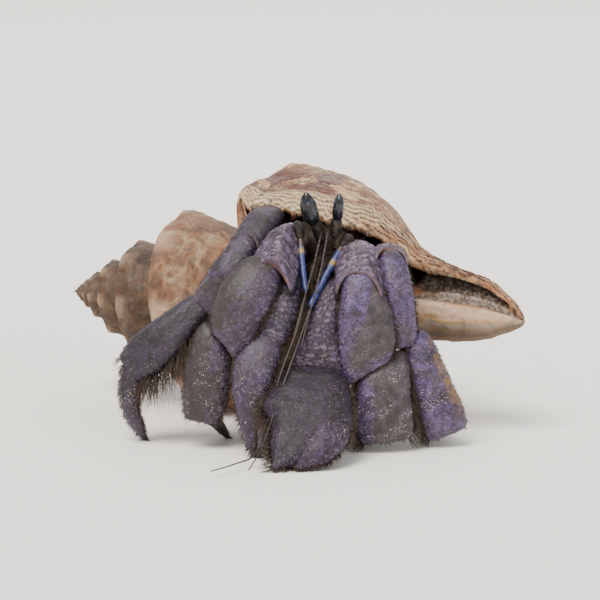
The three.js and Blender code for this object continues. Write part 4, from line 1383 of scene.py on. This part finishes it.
RIGHT_CLAW = {
    "finger": Plate(((-7.4, -41.4, 12), (-6.6, -43.8, 7.2), (-8.2, -44.4, 1.4)),
                    (1.5, 1.8, 1.5, 0.6), (1.7, 1.8, 1.4, 0.6), (0.3, -1, 0.2), Segment.TIP, boxy=0.75),
    "palm": Plate(((-6.4, -36.4, 23.8), (-8.9, -40.4, 16), (-9.8, -42.4, 8.4), (-8.8, -43.8, -0.6)),
                  (3.2, 4.1, 4.1, 3.5, 2.3, 1.6, 0.6), (2.4, 3, 3.2, 2.8, 2, 1.5, 0.6), (-0.1, -1, 0.3),
                  Segment.PALM, fringe=(1.1, 3.4, 1), boxy=0.65),
    "carpus": Plate(((-1.2, -30.6, 35.6), (-3.7, -35.2, 28.6), (-6.3, -37.2, 22.4)),
                    (1.8, 2.8, 3.4, 3.8, 3.7), (2, 2.6, 3, 3, 2.6), (-0.1, -1, 0.3),
                    Segment.RIDGED_CARPUS, added_shade=-1.0, boxy=0.6),
    "merus": Plate(((3, -22, 30.5), (0.6, -26, 32), (-1, -30, 31.6)),
                   (2.6, 3, 3, 2.6), (2.8, 3.4, 3.4, 2.8), (0, -0.3, 1), Segment.CARPUS, boxy=0.8),
}


HAIR_POINTS = 7  # two rings of three corners, and the tip


@dataclass
class Bristles:
    """Stiff dark hairs in tufts, along the edges of plates and thinly over their faces."""

    plates: list[Plate]
    seed: int
    per_length: float = 19.0  # tufts for each millimetre of a plate's length
    hairs: int = 3
    thickness: float = 0.05
    finish: BristleFinish = BristleFinish("dark_bristles")
    unwrap_patch: float = 0.0015  # half-width of a tuft's patch on the unwrap

    def roots(self, plate: Plate, rng: np.random.Generator) -> dict[str, Array]:
        """Where a plate's tufts stand, which way they point, how long they are, and their unwrap."""
        t = np.linspace(0.04, 0.995, 150)[:, None]
        points = plate.shape_at(t)
        side, lift = plate.section()
        _, along, across, _ = (v[:, None, :] for v in plate.frame_at(t[:, 0]))
        outer = smooth(-0.5, 0.1, lift)
        beside = bell(np.abs(side), 1.0, 0.05) * smooth(-0.9, -0.2, lift)
        at_end = bell(t, 1.0, 0.015) * outer
        left, right, far = plate.fringe
        length = np.where(side > 0, left, right)
        weight = beside * (0.5 + length) * smooth(0.02, 0.2, t) + (0.8 + far) * at_end + 0.012 * outer
        tall = np.maximum(lerp(0.55, length, np.clip(beside, 0, 1)), far * at_end)
        count = int(self.per_length * PathCurve(plate.path).length())
        picked = rng.choice(weight.size, count, p=(weight / weight.sum()).ravel())
        spread = across * np.sign(side)[..., None] * beside[..., None]
        lie = unit(grid_normals(points) * 0.5 + spread * 0.5 + along * 0.75)
        round_it = np.arange(side.size)[None] / side.size
        places = np.stack(np.broadcast_arrays(0.04 + 0.92 * t, round_it), axis=-1)
        flat = (np.broadcast_to(v, weight.shape + v.shape[2:]) for v in (points, lie, tall, places))
        named = zip(("root", "lie", "length", "unwrap"), flat)
        return {name: v.reshape(weight.size, *v.shape[2:])[picked] for name, v in named}

    def solid(self) -> Solid:
        """All the tufts as one mesh of thin bent cones."""
        rng = np.random.default_rng(self.seed)
        found = [self.roots(plate, rng) for plate in self.plates]
        for k, roots in enumerate(found):
            roots["unwrap"] = (roots["unwrap"] * [1, 0.94] + [0, 0.03] + [0, k]) / [1, len(found)]
        roots = {name: np.concatenate([roots[name] for roots in found]) for name in found[0]}
        roots = {name: np.repeat(value, self.hairs, axis=0) for name, value in roots.items()}
        count = len(roots["root"])
        lie = unit(roots["lie"] + 0.28 * rng.standard_normal((count, 3)))
        length = roots["length"] * rng.uniform(0.5, 1.15, count)
        root = roots["root"] + 0.08 * rng.standard_normal((count, 3)) - 0.1 * lie
        droop = np.array([0, 0, -1.0]) * 0.35 + 0.15 * rng.standard_normal((count, 3))
        beside = unit(np.cross(lie, [0.3, 0.2, 1.0]))
        over = np.cross(lie, beside)
        rings, tips = [], []
        for share, width in ((0.0, 1.0), (0.5, 0.8)):
            middle = root + (length * share)[:, None] * (lie + droop * share)
            for corner in np.radians([0, 120, 240]):
                offset = self.thickness * width * (np.cos(corner) * beside + np.sin(corner) * over)
                rings.append(middle + offset)
                tips.append(np.full(count, share))
        rings.append(root + length[:, None] * (lie + droop))
        tips.append(np.ones(count))
        points, tip = np.stack(rings, axis=1), np.stack(tips, axis=1)
        first = HAIR_POINTS * np.arange(count)[:, None, None]
        quads = first + np.array([[0, 1, 4, 3], [1, 2, 5, 4], [2, 0, 3, 5]])
        triangles = first + np.array([[0, 2, 1], [3, 4, 6], [4, 5, 6], [5, 3, 6]])
        corners = 2 * np.pi * np.arange(HAIR_POINTS) / HAIR_POINTS
        patch = self.unwrap_patch * np.stack([np.cos(corners), np.sin(corners)], axis=-1)
        unwrap = roots["unwrap"][:, None] + patch
        return Solid(points.reshape(-1, 3), quads.reshape(-1, 4), triangles.reshape(-1, 3),
                     {"tip": tip.ravel()}, unwrap.reshape(-1, 2))

    def build(self, name: str) -> None:
        """Makes the tufts' piece."""
        place(name, mesh_of(name, self.solid()), self.finish, Slot.ARMOUR)


@dataclass
class Limb:
    """A leg or claw: its plates, the soft skin at the joints between them, and its bristles."""

    name: str
    plates: dict[str, Plate]
    armour: ArmourFinish = ArmourFinish("lavender_armour")
    hood: ArmourFinish = ArmourFinish(
        "hood_armour", purple=(98, 80, 110), grey=(98, 82, 92), deep=(66, 50, 66), groove=(30, 20, 20),
        crest=(148, 132, 152), pitted=0.2
    )
    # The joint skin is dark in itself, and darker still as painted shade for the gaps between plates.
    joint_skin: FleshFinish = FleshFinish("joint_skin", (62, 38, 26), (20, 13, 11), (96, 62, 42), 0.4)
    skin_width: float = 0.82  # of the narrower plate's width
    skin_depth: float = 0.7

    def chain(self) -> list[str]:
        """The plates' names from the body to the tip."""
        order = ("merus", "carpus", "propodus", "palm", "dactyl")
        return [name for name in order if name in self.plates]

    def joint(self, near: Plate, far: Plate) -> Solid:
        """The soft skin between two plates."""
        start, _, _, _ = near.frame_at(np.array([0.86]))
        end, _, _, _ = far.frame_at(np.array([0.1]))
        middle = (near.frame_at(np.array([1.0]))[0] + far.frame_at(np.array([0.02]))[0]) / 2
        width = self.skin_width * min(near.width[-1], far.width[1])
        depth = self.skin_depth * min(near.depth[-1], far.depth[1])
        path = tuple(tuple(float(c) for c in p[0]) for p in (start, middle, end))
        skin = Plate(path, (width,) * 3, (depth,) * 3, far.face, Segment.SMALL,
                     rings=40, sides=48, boxy=1.0)
        return skin.solid()

    def build(self) -> None:
        """Makes the plates, the joint skins and the bristles."""
        for segment, plate in self.plates.items():
            nodes = [f"{self.name}_{segment}"]
            if segment == "palm":
                nodes.append(f"{self.name}_fixed_finger")
            finish = self.hood if plate.segment is Segment.MERUS else self.armour
            place(f"{nodes[0]}_plate", mesh_of(nodes[0], plate.solid()), finish, Slot.ARMOUR, *nodes)
        chain = self.chain()
        skins = [self.joint(self.plates[a], self.plates[b]) for a, b in zip(chain, chain[1:])]
        place(f"{self.name}_joint_skin", mesh_of(f"{self.name}_joints", Solid.joined(skins)),
              self.joint_skin, Slot.SOFT_BODY)
        hairy = [plate for segment, plate in self.plates.items() if segment != "merus"]
        Bristles(hairy, sum(map(ord, self.name))).build(f"{self.name}_bristles")


# ---- Head ----------------------------------------------------------------------------------


@dataclass
class Feeler:
    """A thin jointed feeler: a path and its half-thicknesses, with rings along it."""

    path: tuple[Point, ...]
    thickness: tuple[float, ...]
    ring_pitch: float = 0.0
    ring_depth: float = 0.12
    rings: int = 120
    sides: int = 14
    base_share: float = 0.0
    band_at: float = -1.0
    band_width: float = 0.05

    def solid(self) -> Solid:
        """The feeler as a closed tube with marks for its base, band and grooves."""
        curve = PathCurve(self.path)
        t = np.linspace(0, 1, self.rings + 1)[1:-1]
        centre, along = curve.at(t), curve.direction(t)
        across = unit(np.cross(along, (0.1, -1, 0.2)))
        out = np.cross(across, along)
        end = np.minimum(t, 1 - t) * curve.length() / 0.5
        radius = read_along(self.thickness, t) * np.sqrt(1 - (1 - np.clip(end, 0, 1)) ** 2)
        groove = np.zeros_like(t)
        if self.ring_pitch:
            phase = t * curve.length() / self.ring_pitch
            groove = bell(phase - np.floor(phase), 0.5, 0.2)
            radius = radius * (1 - self.ring_depth * groove)
        angle = 2 * np.pi * np.arange(self.sides) / self.sides
        cos, sin = np.cos(angle)[None, :, None], np.sin(angle)[None, :, None]
        ring = cos * across[:, None] + sin * out[:, None]
        rings = centre[:, None] + ring * radius[:, None, None]
        full = np.ones((1, self.sides))
        base = smooth(self.base_share + 0.03, self.base_share, t)
        marks = {
            "groove": groove[:, None] * full,
            "base": (base * (self.base_share > 0))[:, None] * full,
            "band": (bell(t, self.band_at, self.band_width))[:, None] * full,
        }
        return Solid.over_rings(rings, curve.at(0.0), curve.at(1.0), marks).outward()


@dataclass
class Head:
    """Eyes on their stalks, feelers, mouth limbs and the small scales between them."""

    eye: CorneaFinish = CorneaFinish("cornea_gloss")
    # Dark tones: painted shade, as the eyestalks stand in the shadow below the eyes.
    eyestalk: FleshFinish = FleshFinish(
        "eyestalk_skin", (44, 38, 36), (16, 13, 13), (86, 76, 68), 0.35, 0.35
    )
    stalk: StalkFinish = StalkFinish("blue_stalk")
    feeler: StalkFinish = StalkFinish(
        "brown_feeler", (62, 46, 40), (34, 25, 24), (90, 70, 58), (50, 38, 34), 0.35
    )
    # Dark tones: painted shade, as the mouth limbs and feeler bases sit in the shadow under the head.
    base: FleshFinish = FleshFinish("feeler_base_skin", (36, 28, 24), (13, 10, 9), (74, 60, 48), 0.45)
    corneas: dict[str, Plate] = field(default_factory=lambda: {
        "cornea_right": Plate(((2.9, -28.8, 43.4), (1.8, -30.4, 46.9), (1.1, -31, 50.4)),
                              (1.3, 1.58, 1.72, 1.75, 1.65, 1.38, 0.9),
                              (1.1, 1.28, 1.38, 1.4, 1.32, 1.12, 0.8),
                              (-0.3, -1, 0.2)),
        "cornea_left": Plate(((7.2, -28.8, 44.4), (7.5, -30.3, 47.2), (7.7, -30.8, 49.9)),
                             (0.9, 1.03, 1.1, 1.1, 1.04, 0.88, 0.6),
                             (1.1, 1.33, 1.45, 1.44, 1.34, 1.1, 0.7),
                             (0.3, -1, 0.2)),
    })
    eyestalks: dict[str, Plate] = field(default_factory=lambda: {
        "eyestalk_right": Plate(((4.2, -25.8, 39.6), (3.5, -27.6, 42.6), (2.6, -29.3, 45.4)),
                                (1.1, 1.2, 1.25, 1.1), (1.1, 1.2, 1.1, 0.9), (-0.3, -1, 0.2)),
        "eyestalk_left": Plate(((6.8, -26.6, 40.6), (7, -28, 43), (7.4, -29.4, 45.6)),
                               (1, 1.1, 1.1, 0.9), (1.1, 1.2, 1.2, 1), (0.3, -1, 0.2)),
    })
    mouth_limbs: dict[str, Plate] = field(default_factory=lambda: {
        "maxilliped_right": Plate(((3.6, -26, 36), (2.4, -30, 33), (2.2, -32, 27.4)),
                                  (1.1, 1.4, 1.2, 0.7), (1.1, 1.4, 1.2, 0.7), (0, -1, 0.2)),
        "maxilliped_left": Plate(((6.4, -26, 35.6), (5.2, -30, 36.4), (3.9, -32.4, 33.4)),
                                 (1, 1.1, 1, 0.7), (1, 1.1, 1, 0.7), (0, -1, 0.2)),
    })
    feeler_bases: dict[str, Plate] = field(default_factory=lambda: {
        "antenna_base_right": Plate(((-0.8, -26, 43.6), (-0.2, -28.2, 42.4), (0.1, -29.6, 40.8)),
                                    (0.9, 1, 0.85), (0.9, 1, 0.85), (0, -1, 0.2)),
        "antenna_base_left": Plate(((10, -26.6, 41), (9.1, -28.8, 40.2), (8.2, -30.4, 39.2)),
                                   (0.95, 1.05, 0.9), (0.95, 1.05, 0.9), (0, -1, 0.2)),
    })
    stalks: dict[str, Feeler] = field(default_factory=lambda: {
        "antenna_stalk_right": Feeler(((0.1, -29.6, 41), (0.4, -32.4, 37), (1.2, -36, 31.4)),
                                      (0.62, 0.62, 0.58, 0.55), base_share=0.18, band_at=0.3,
                                      band_width=0.06),
        "antenna_stalk_left": Feeler(((8.3, -30.4, 39.4), (5.6, -33.6, 35.2), (1.9, -38, 28.8)),
                                     (0.7, 0.72, 0.7, 0.62), base_share=0.1, band_at=0.36,
                                     band_width=0.05),
    })
    whips: dict[str, Feeler] = field(default_factory=lambda: {
        "antenna_whip_right": Feeler(
            ((1.2, -36.3, 31), (-0.6, -39.6, 24.6), (-3.6, -43.6, 17), (-6.2, -47.4, 9),
             (-8.6, -52, 2.6), (-12.6, -57, 1.7), (-17, -61.4, 1.3)),
            (0.24, 0.2, 0.17, 0.12), ring_pitch=0.45, rings=420),
        "antenna_whip_left": Feeler(
            ((1.9, -38.4, 28.4), (-0.2, -41.4, 22.6), (-2.8, -45.2, 16), (-5.2, -50, 9.6),
             (-7.4, -56.8, 4.6), (-9.8, -62, 1.6)),
            (0.24, 0.2, 0.17, 0.12), ring_pitch=0.45, rings=420),
        "antennule_right": Feeler(
            ((4.3, -28, 42.2), (2.6, -34, 36), (0.3, -40.4, 29), (-1.2, -43, 24)),
            (0.26, 0.2, 0.16, 0.12), ring_pitch=1.1, ring_depth=0.15, rings=200),
        "antennule_left": Feeler(
            ((5.5, -28.2, 42), (4.1, -34.6, 35.8), (1.7, -41.2, 27.4), (0.2, -44, 22)),
            (0.26, 0.2, 0.16, 0.12), ring_pitch=1.1, ring_depth=0.15, rings=200),
    })

    def build(self) -> None:
        """Makes every piece of the head."""
        groups = (
            (self.corneas, self.eye, Slot.CORNEA, Segment.SMALL, 1.0),
            (self.eyestalks, self.eyestalk, Slot.EYESTALK, Segment.SMALL, 0.95),
            (self.mouth_limbs, self.base, Slot.FEELER, Segment.SMALL, 0.95),
            (self.feeler_bases, self.base, Slot.FEELER, Segment.SMALL, 0.95),
        )
        for plates, finish, slot, segment, boxy in groups:
            for name, plate in plates.items():
                plate.segment, plate.boxy, plate.rings, plate.sides = segment, boxy, 64, 64
                plate.fringe = (1.6, 1.6, 2.2)
                place(f"{name}_piece", mesh_of(name, plate.solid()), finish, slot, name)
        hairy = [*self.mouth_limbs.values(), *self.feeler_bases.values()]
        Bristles(hairy, 5, per_length=42).build("face_bristles")
        kinds = ((self.stalks, self.stalk, Slot.ANTENNA), (self.whips, self.feeler, Slot.FEELER))
        for feelers, finish, slot in kinds:
            for name, feeler in feelers.items():
                place(f"{name}_piece", mesh_of(name, feeler.solid()), finish, slot, name)


# ---- Soft body and small legs --------------------------------------------------------------


@dataclass
class SoftBody:
    """The shield and the abdomen, which winds up the shell, in one skin."""

    shell: ConchShell
    shield: Plate = field(default_factory=lambda: Plate(
        ((2, -12, 40), (3.8, -19.5, 38.4), (5.2, -26.6, 36.6)),
        (5.4, 7, 6.8, 4.4), (4.4, 5.2, 4.8, 3.8), (0, -0.3, 1), Segment.SMALL, boxy=0.9))
    start: float = 24.0  # the turns between which the abdomen winds
    end: float = -232.0
    middle: tuple[float, float] = (58.0, 55.0)  # its place on the whorl's profile, front and tip
    half_length: float = 8.5
    wall_gap: float = 0.8  # clear of the hollow's outer wall
    core_gap: float = 1.6  # clear of the whorl before
    sides: int = 40
    voxel: float = 0.5
    finish: FleshFinish = FleshFinish("abdomen_skin", (112, 78, 62), (62, 40, 34), (144, 108, 86), 0.4)

    def abdomen(self, sections: int = 60) -> Solid:
        """The abdomen, an oval that follows the shell's hollow and tapers."""
        shell = self.shell
        share = np.linspace(0, 1, sections)
        turn = lerp(self.start, self.end, share)
        scale = shell.growth_along ** (turn / 360)
        centre = lerp(*self.middle, share) * scale
        roof = shell.radius(centre, turn)[0] - shell.wall - self.wall_gap
        floor = shell.radius(centre, turn - 360)[0] + self.core_gap
        taper = (1 - 0.45 * share) * (1 - 0.4 * np.abs(2 * share - 1) ** 8)
        folds = 1 + 0.03 * np.cos(share * 90)
        angle = 2 * np.pi * np.arange(self.sides) / self.sides
        long = self.half_length * scale * taper * folds
        along = centre[:, None] + long[:, None] * np.cos(angle)
        deep = 0.45 * (roof - floor) * taper * folds
        out = ((roof + floor) / 2)[:, None] + deep[:, None] * np.sin(angle)
        rings = shell.point(along, out, np.broadcast_to(turn[:, None], along.shape))
        return Solid.over_rings(rings, rings[0].mean(0), rings[-1].mean(0)).outward()

    def waist(self, abdomen: Solid) -> Solid:
        """The bridge from the shield to the abdomen."""
        near = np.array(self.shield.path[0])
        far = abdomen.points[1:1 + self.sides].mean(0)  # the middle of its first ring
        path = tuple(tuple(float(c) for c in lerp(near, far, k)) for k in (-0.3, 0.4, 1.25))
        bridge = Plate(path, (4.6, 5.2, 4.8), (3.8, 4.2, 3.6), (0, -0.3, 1), Segment.SMALL,
                       rings=40, sides=40, boxy=1.0)
        return bridge.solid()

    def build(self) -> None:
        """Joins the lengths into one skin and gives it folds."""
        abdomen = self.abdomen()
        whole = Solid.joined([abdomen, self.waist(abdomen), self.shield.solid()])
        whole.marks = {}
        rough = add_object("soft_body_rough", mesh_of("soft_body_rough", whole))
        remesh = rough.modifiers.new("one_skin", "REMESH")
        remesh.mode, remesh.voxel_size = "VOXEL", self.voxel * MM
        relax = rough.modifiers.new("relax", "SMOOTH")
        relax.factor, relax.iterations = 0.6, 8
        mesh = evaluated(rough)
        bpy.data.objects.remove(rough)
        mesh.shade_smooth()
        points = layout_points(mesh)
        # Painted shade over the front of the body, in the shadow under the shell's lip.
        set_mark(mesh, "shade", smooth(-8, -15, points[:, 1]))
        nodes = [f"abdomen_{part}" for part in ("front", "middle", "rear", "tip")]
        place("soft_body", mesh, self.finish, Slot.SOFT_BODY, "carapace", *nodes)


@dataclass
class BraceLegs:
    """The small fourth and fifth legs inside the shell's mouth."""

    plates: dict[str, Plate] = field(default_factory=lambda: {
        "leg4_left": Plate(((10, -17.6, 35.6), (13.6, -18.4, 32), (13.8, -18.6, 27.4)),
                           (1.3, 1.5, 1.4, 1), (1.2, 1.4, 1.3, 0.9), (0.3, -1, 0)),
        "leg4_right": Plate(((-1.6, -15.4, 37), (-5, -15.6, 34), (-6.2, -16.4, 29.6)),
                            (1.3, 1.5, 1.4, 1), (1.2, 1.4, 1.3, 0.9), (-0.3, -1, 0)),
        "leg5_left": Plate(((6.4, -14.6, 37), (10, -13, 37.4), (13.2, -12.4, 38.2)),
                           (1, 1.1, 1, 0.8), (1, 1.1, 1, 0.8), (0, 0, 1)),
        "leg5_right": Plate(((-1.6, -14.4, 38.6), (-5, -12.8, 39), (-8.2, -12.4, 40)),
                            (1, 1.1, 1, 0.8), (1, 1.1, 1, 0.8), (0, 0, 1)),
    })
    finish: FleshFinish = FleshFinish(
        "small_leg_skin", (130, 100, 84), (82, 60, 52), (168, 140, 118), 0.45
    )

    def build(self) -> None:
        """Makes the four legs."""
        for name, plate in self.plates.items():
            plate.segment, plate.boxy, plate.rings, plate.sides = Segment.SMALL, 0.9, 60, 48
            place(f"{name}_piece", mesh_of(name, plate.solid()), self.finish, Slot.SOFT_BODY, name)


# ---- Stage ---------------------------------------------------------------------------------


@dataclass
class Studio:
    """The floor, the lights and the camera."""

    target: Point = (0.0, -20.0, 27.0)
    distance: float = 0.7
    elevation: float = 10.0
    lens: float = 210.0
    ground: GroundFinish = GroundFinish("pale_ground")

    def floor(self) -> None:
        """Lays the floor."""
        half = 4000.0
        corners = np.array([[-half, -half, 0], [half, -half, 0], [half, half, 0], [-half, half, 0]])
        mesh = mesh_of("floor", Solid(corners, np.array([[0, 1, 2, 3]]), np.zeros((0, 3), int)))
        made = add_object("floor", mesh)
        made.data.materials.append(self.ground.material())

    def light(
        self, name: str, at: Point, size: float, power: float, tone: Colour = (255, 252, 246)
    ) -> None:
        """Hangs one soft light that looks at the model.

        Args:
            name: The light's name.
            at: Where it hangs, in metres in the frame.
            size: Its width, in metres.
            power: Its power, in watts.
            tone: Its colour.
        """
        lamp = bpy.data.lights.new(name, "AREA")
        lamp.shape, lamp.size, lamp.energy = "DISK", size, power
        lamp.color = linear(tone)[:3]
        made = bpy.data.objects.new(name, lamp)
        made.location = at
        made.rotation_euler = (Vector((0, 0, 0.02)) - Vector(at)).to_track_quat("-Z", "Y").to_euler()
        bpy.context.scene.collection.objects.link(made)

    def sun(self, towards: Point, strength: float, spread: float) -> None:
        """Lights the whole floor evenly from one side.

        Args:
            towards: The direction that the light comes from.
            strength: Its strength, in watts for each square metre.
            spread: How wide it is, in degrees, which softens its shadows.
        """
        lamp = bpy.data.lights.new("key", "SUN")
        lamp.energy, lamp.angle = strength, np.radians(spread)
        lamp.color = linear((255, 250, 242))[:3]
        made = bpy.data.objects.new("key", lamp)
        made.rotation_euler = (-Vector(towards)).to_track_quat("-Z", "Y").to_euler()
        bpy.context.scene.collection.objects.link(made)

    def sky(self) -> None:
        """Gives the room an even pale light."""
        world = bpy.data.worlds.new("room")
        world.use_nodes = True
        back = world.node_tree.nodes["Background"]
        back.inputs["Color"].default_value = linear((240, 240, 240))
        back.inputs["Strength"].default_value = 1.1
        bpy.context.scene.world = world

    def camera(self) -> None:
        """Stands the camera in front of the model."""
        data = bpy.data.cameras.new("camera")
        data.lens, data.sensor_width = self.lens, 36.0
        data.clip_start, data.clip_end = 0.05, 50.0
        made = bpy.data.objects.new("camera", data)
        tilt = np.radians(self.elevation)
        target = Vector(to_frame(np.array(self.target)))
        made.location = target + self.distance * Vector((0, -np.cos(tilt), np.sin(tilt)))
        made.rotation_euler = (target - made.location).to_track_quat("-Z", "Y").to_euler()
        bpy.context.scene.collection.objects.link(made)
        bpy.context.scene.camera = made

    def build(self) -> None:
        """Sets the stage."""
        self.floor()
        self.sun(towards=(-0.3, -0.45, 0.9), strength=4.4, spread=34)
        self.light("fill", at=(0.6, -0.5, 0.4), size=0.6, power=1.2, tone=(238, 244, 255))
        self.light("back", at=(0.1, 0.7, 0.6), size=0.6, power=2.0)
        self.sky()
        self.camera()


def main() -> None:
    """Builds the model, piece by piece, and its stage."""
    logging.basicConfig(level=logging.INFO, format="%(name)s %(message)s", stream=sys.stdout)
    shell = ConchShell()
    shell.build()
    dusky = ArmourFinish(
        "dusky_armour", (60, 45, 72), (52, 42, 41), (22, 15, 18), (47, 39, 36), pitted=0.35
    )
    plum = ArmourFinish(
        "plum_armour", (58, 43, 68), (50, 40, 48), (24, 16, 24), (38, 30, 32),
        dust=0.6, shine=0.25, pitted=0.3
    )
    violet = ArmourFinish(
        "violet_armour", (62, 48, 76), (57, 47, 53), (28, 20, 30), (46, 39, 41), pitted=0.35
    )
    Limb("leg2_left", LEFT_LEG_2).build()
    Limb("leg3_left", LEFT_LEG_3).build()
    Limb("leg2_right", RIGHT_LEG_2, dusky).build()
    Limb("leg3_right", RIGHT_LEG_3, dusky).build()
    Limb("claw_left", LEFT_CLAW, plum).build()
    Limb("claw_right", RIGHT_CLAW, violet).build()
    Head().build()
    SoftBody(shell).build()
    BraceLegs().build()
    Studio().build()


if __name__ == "__main__":
    main()
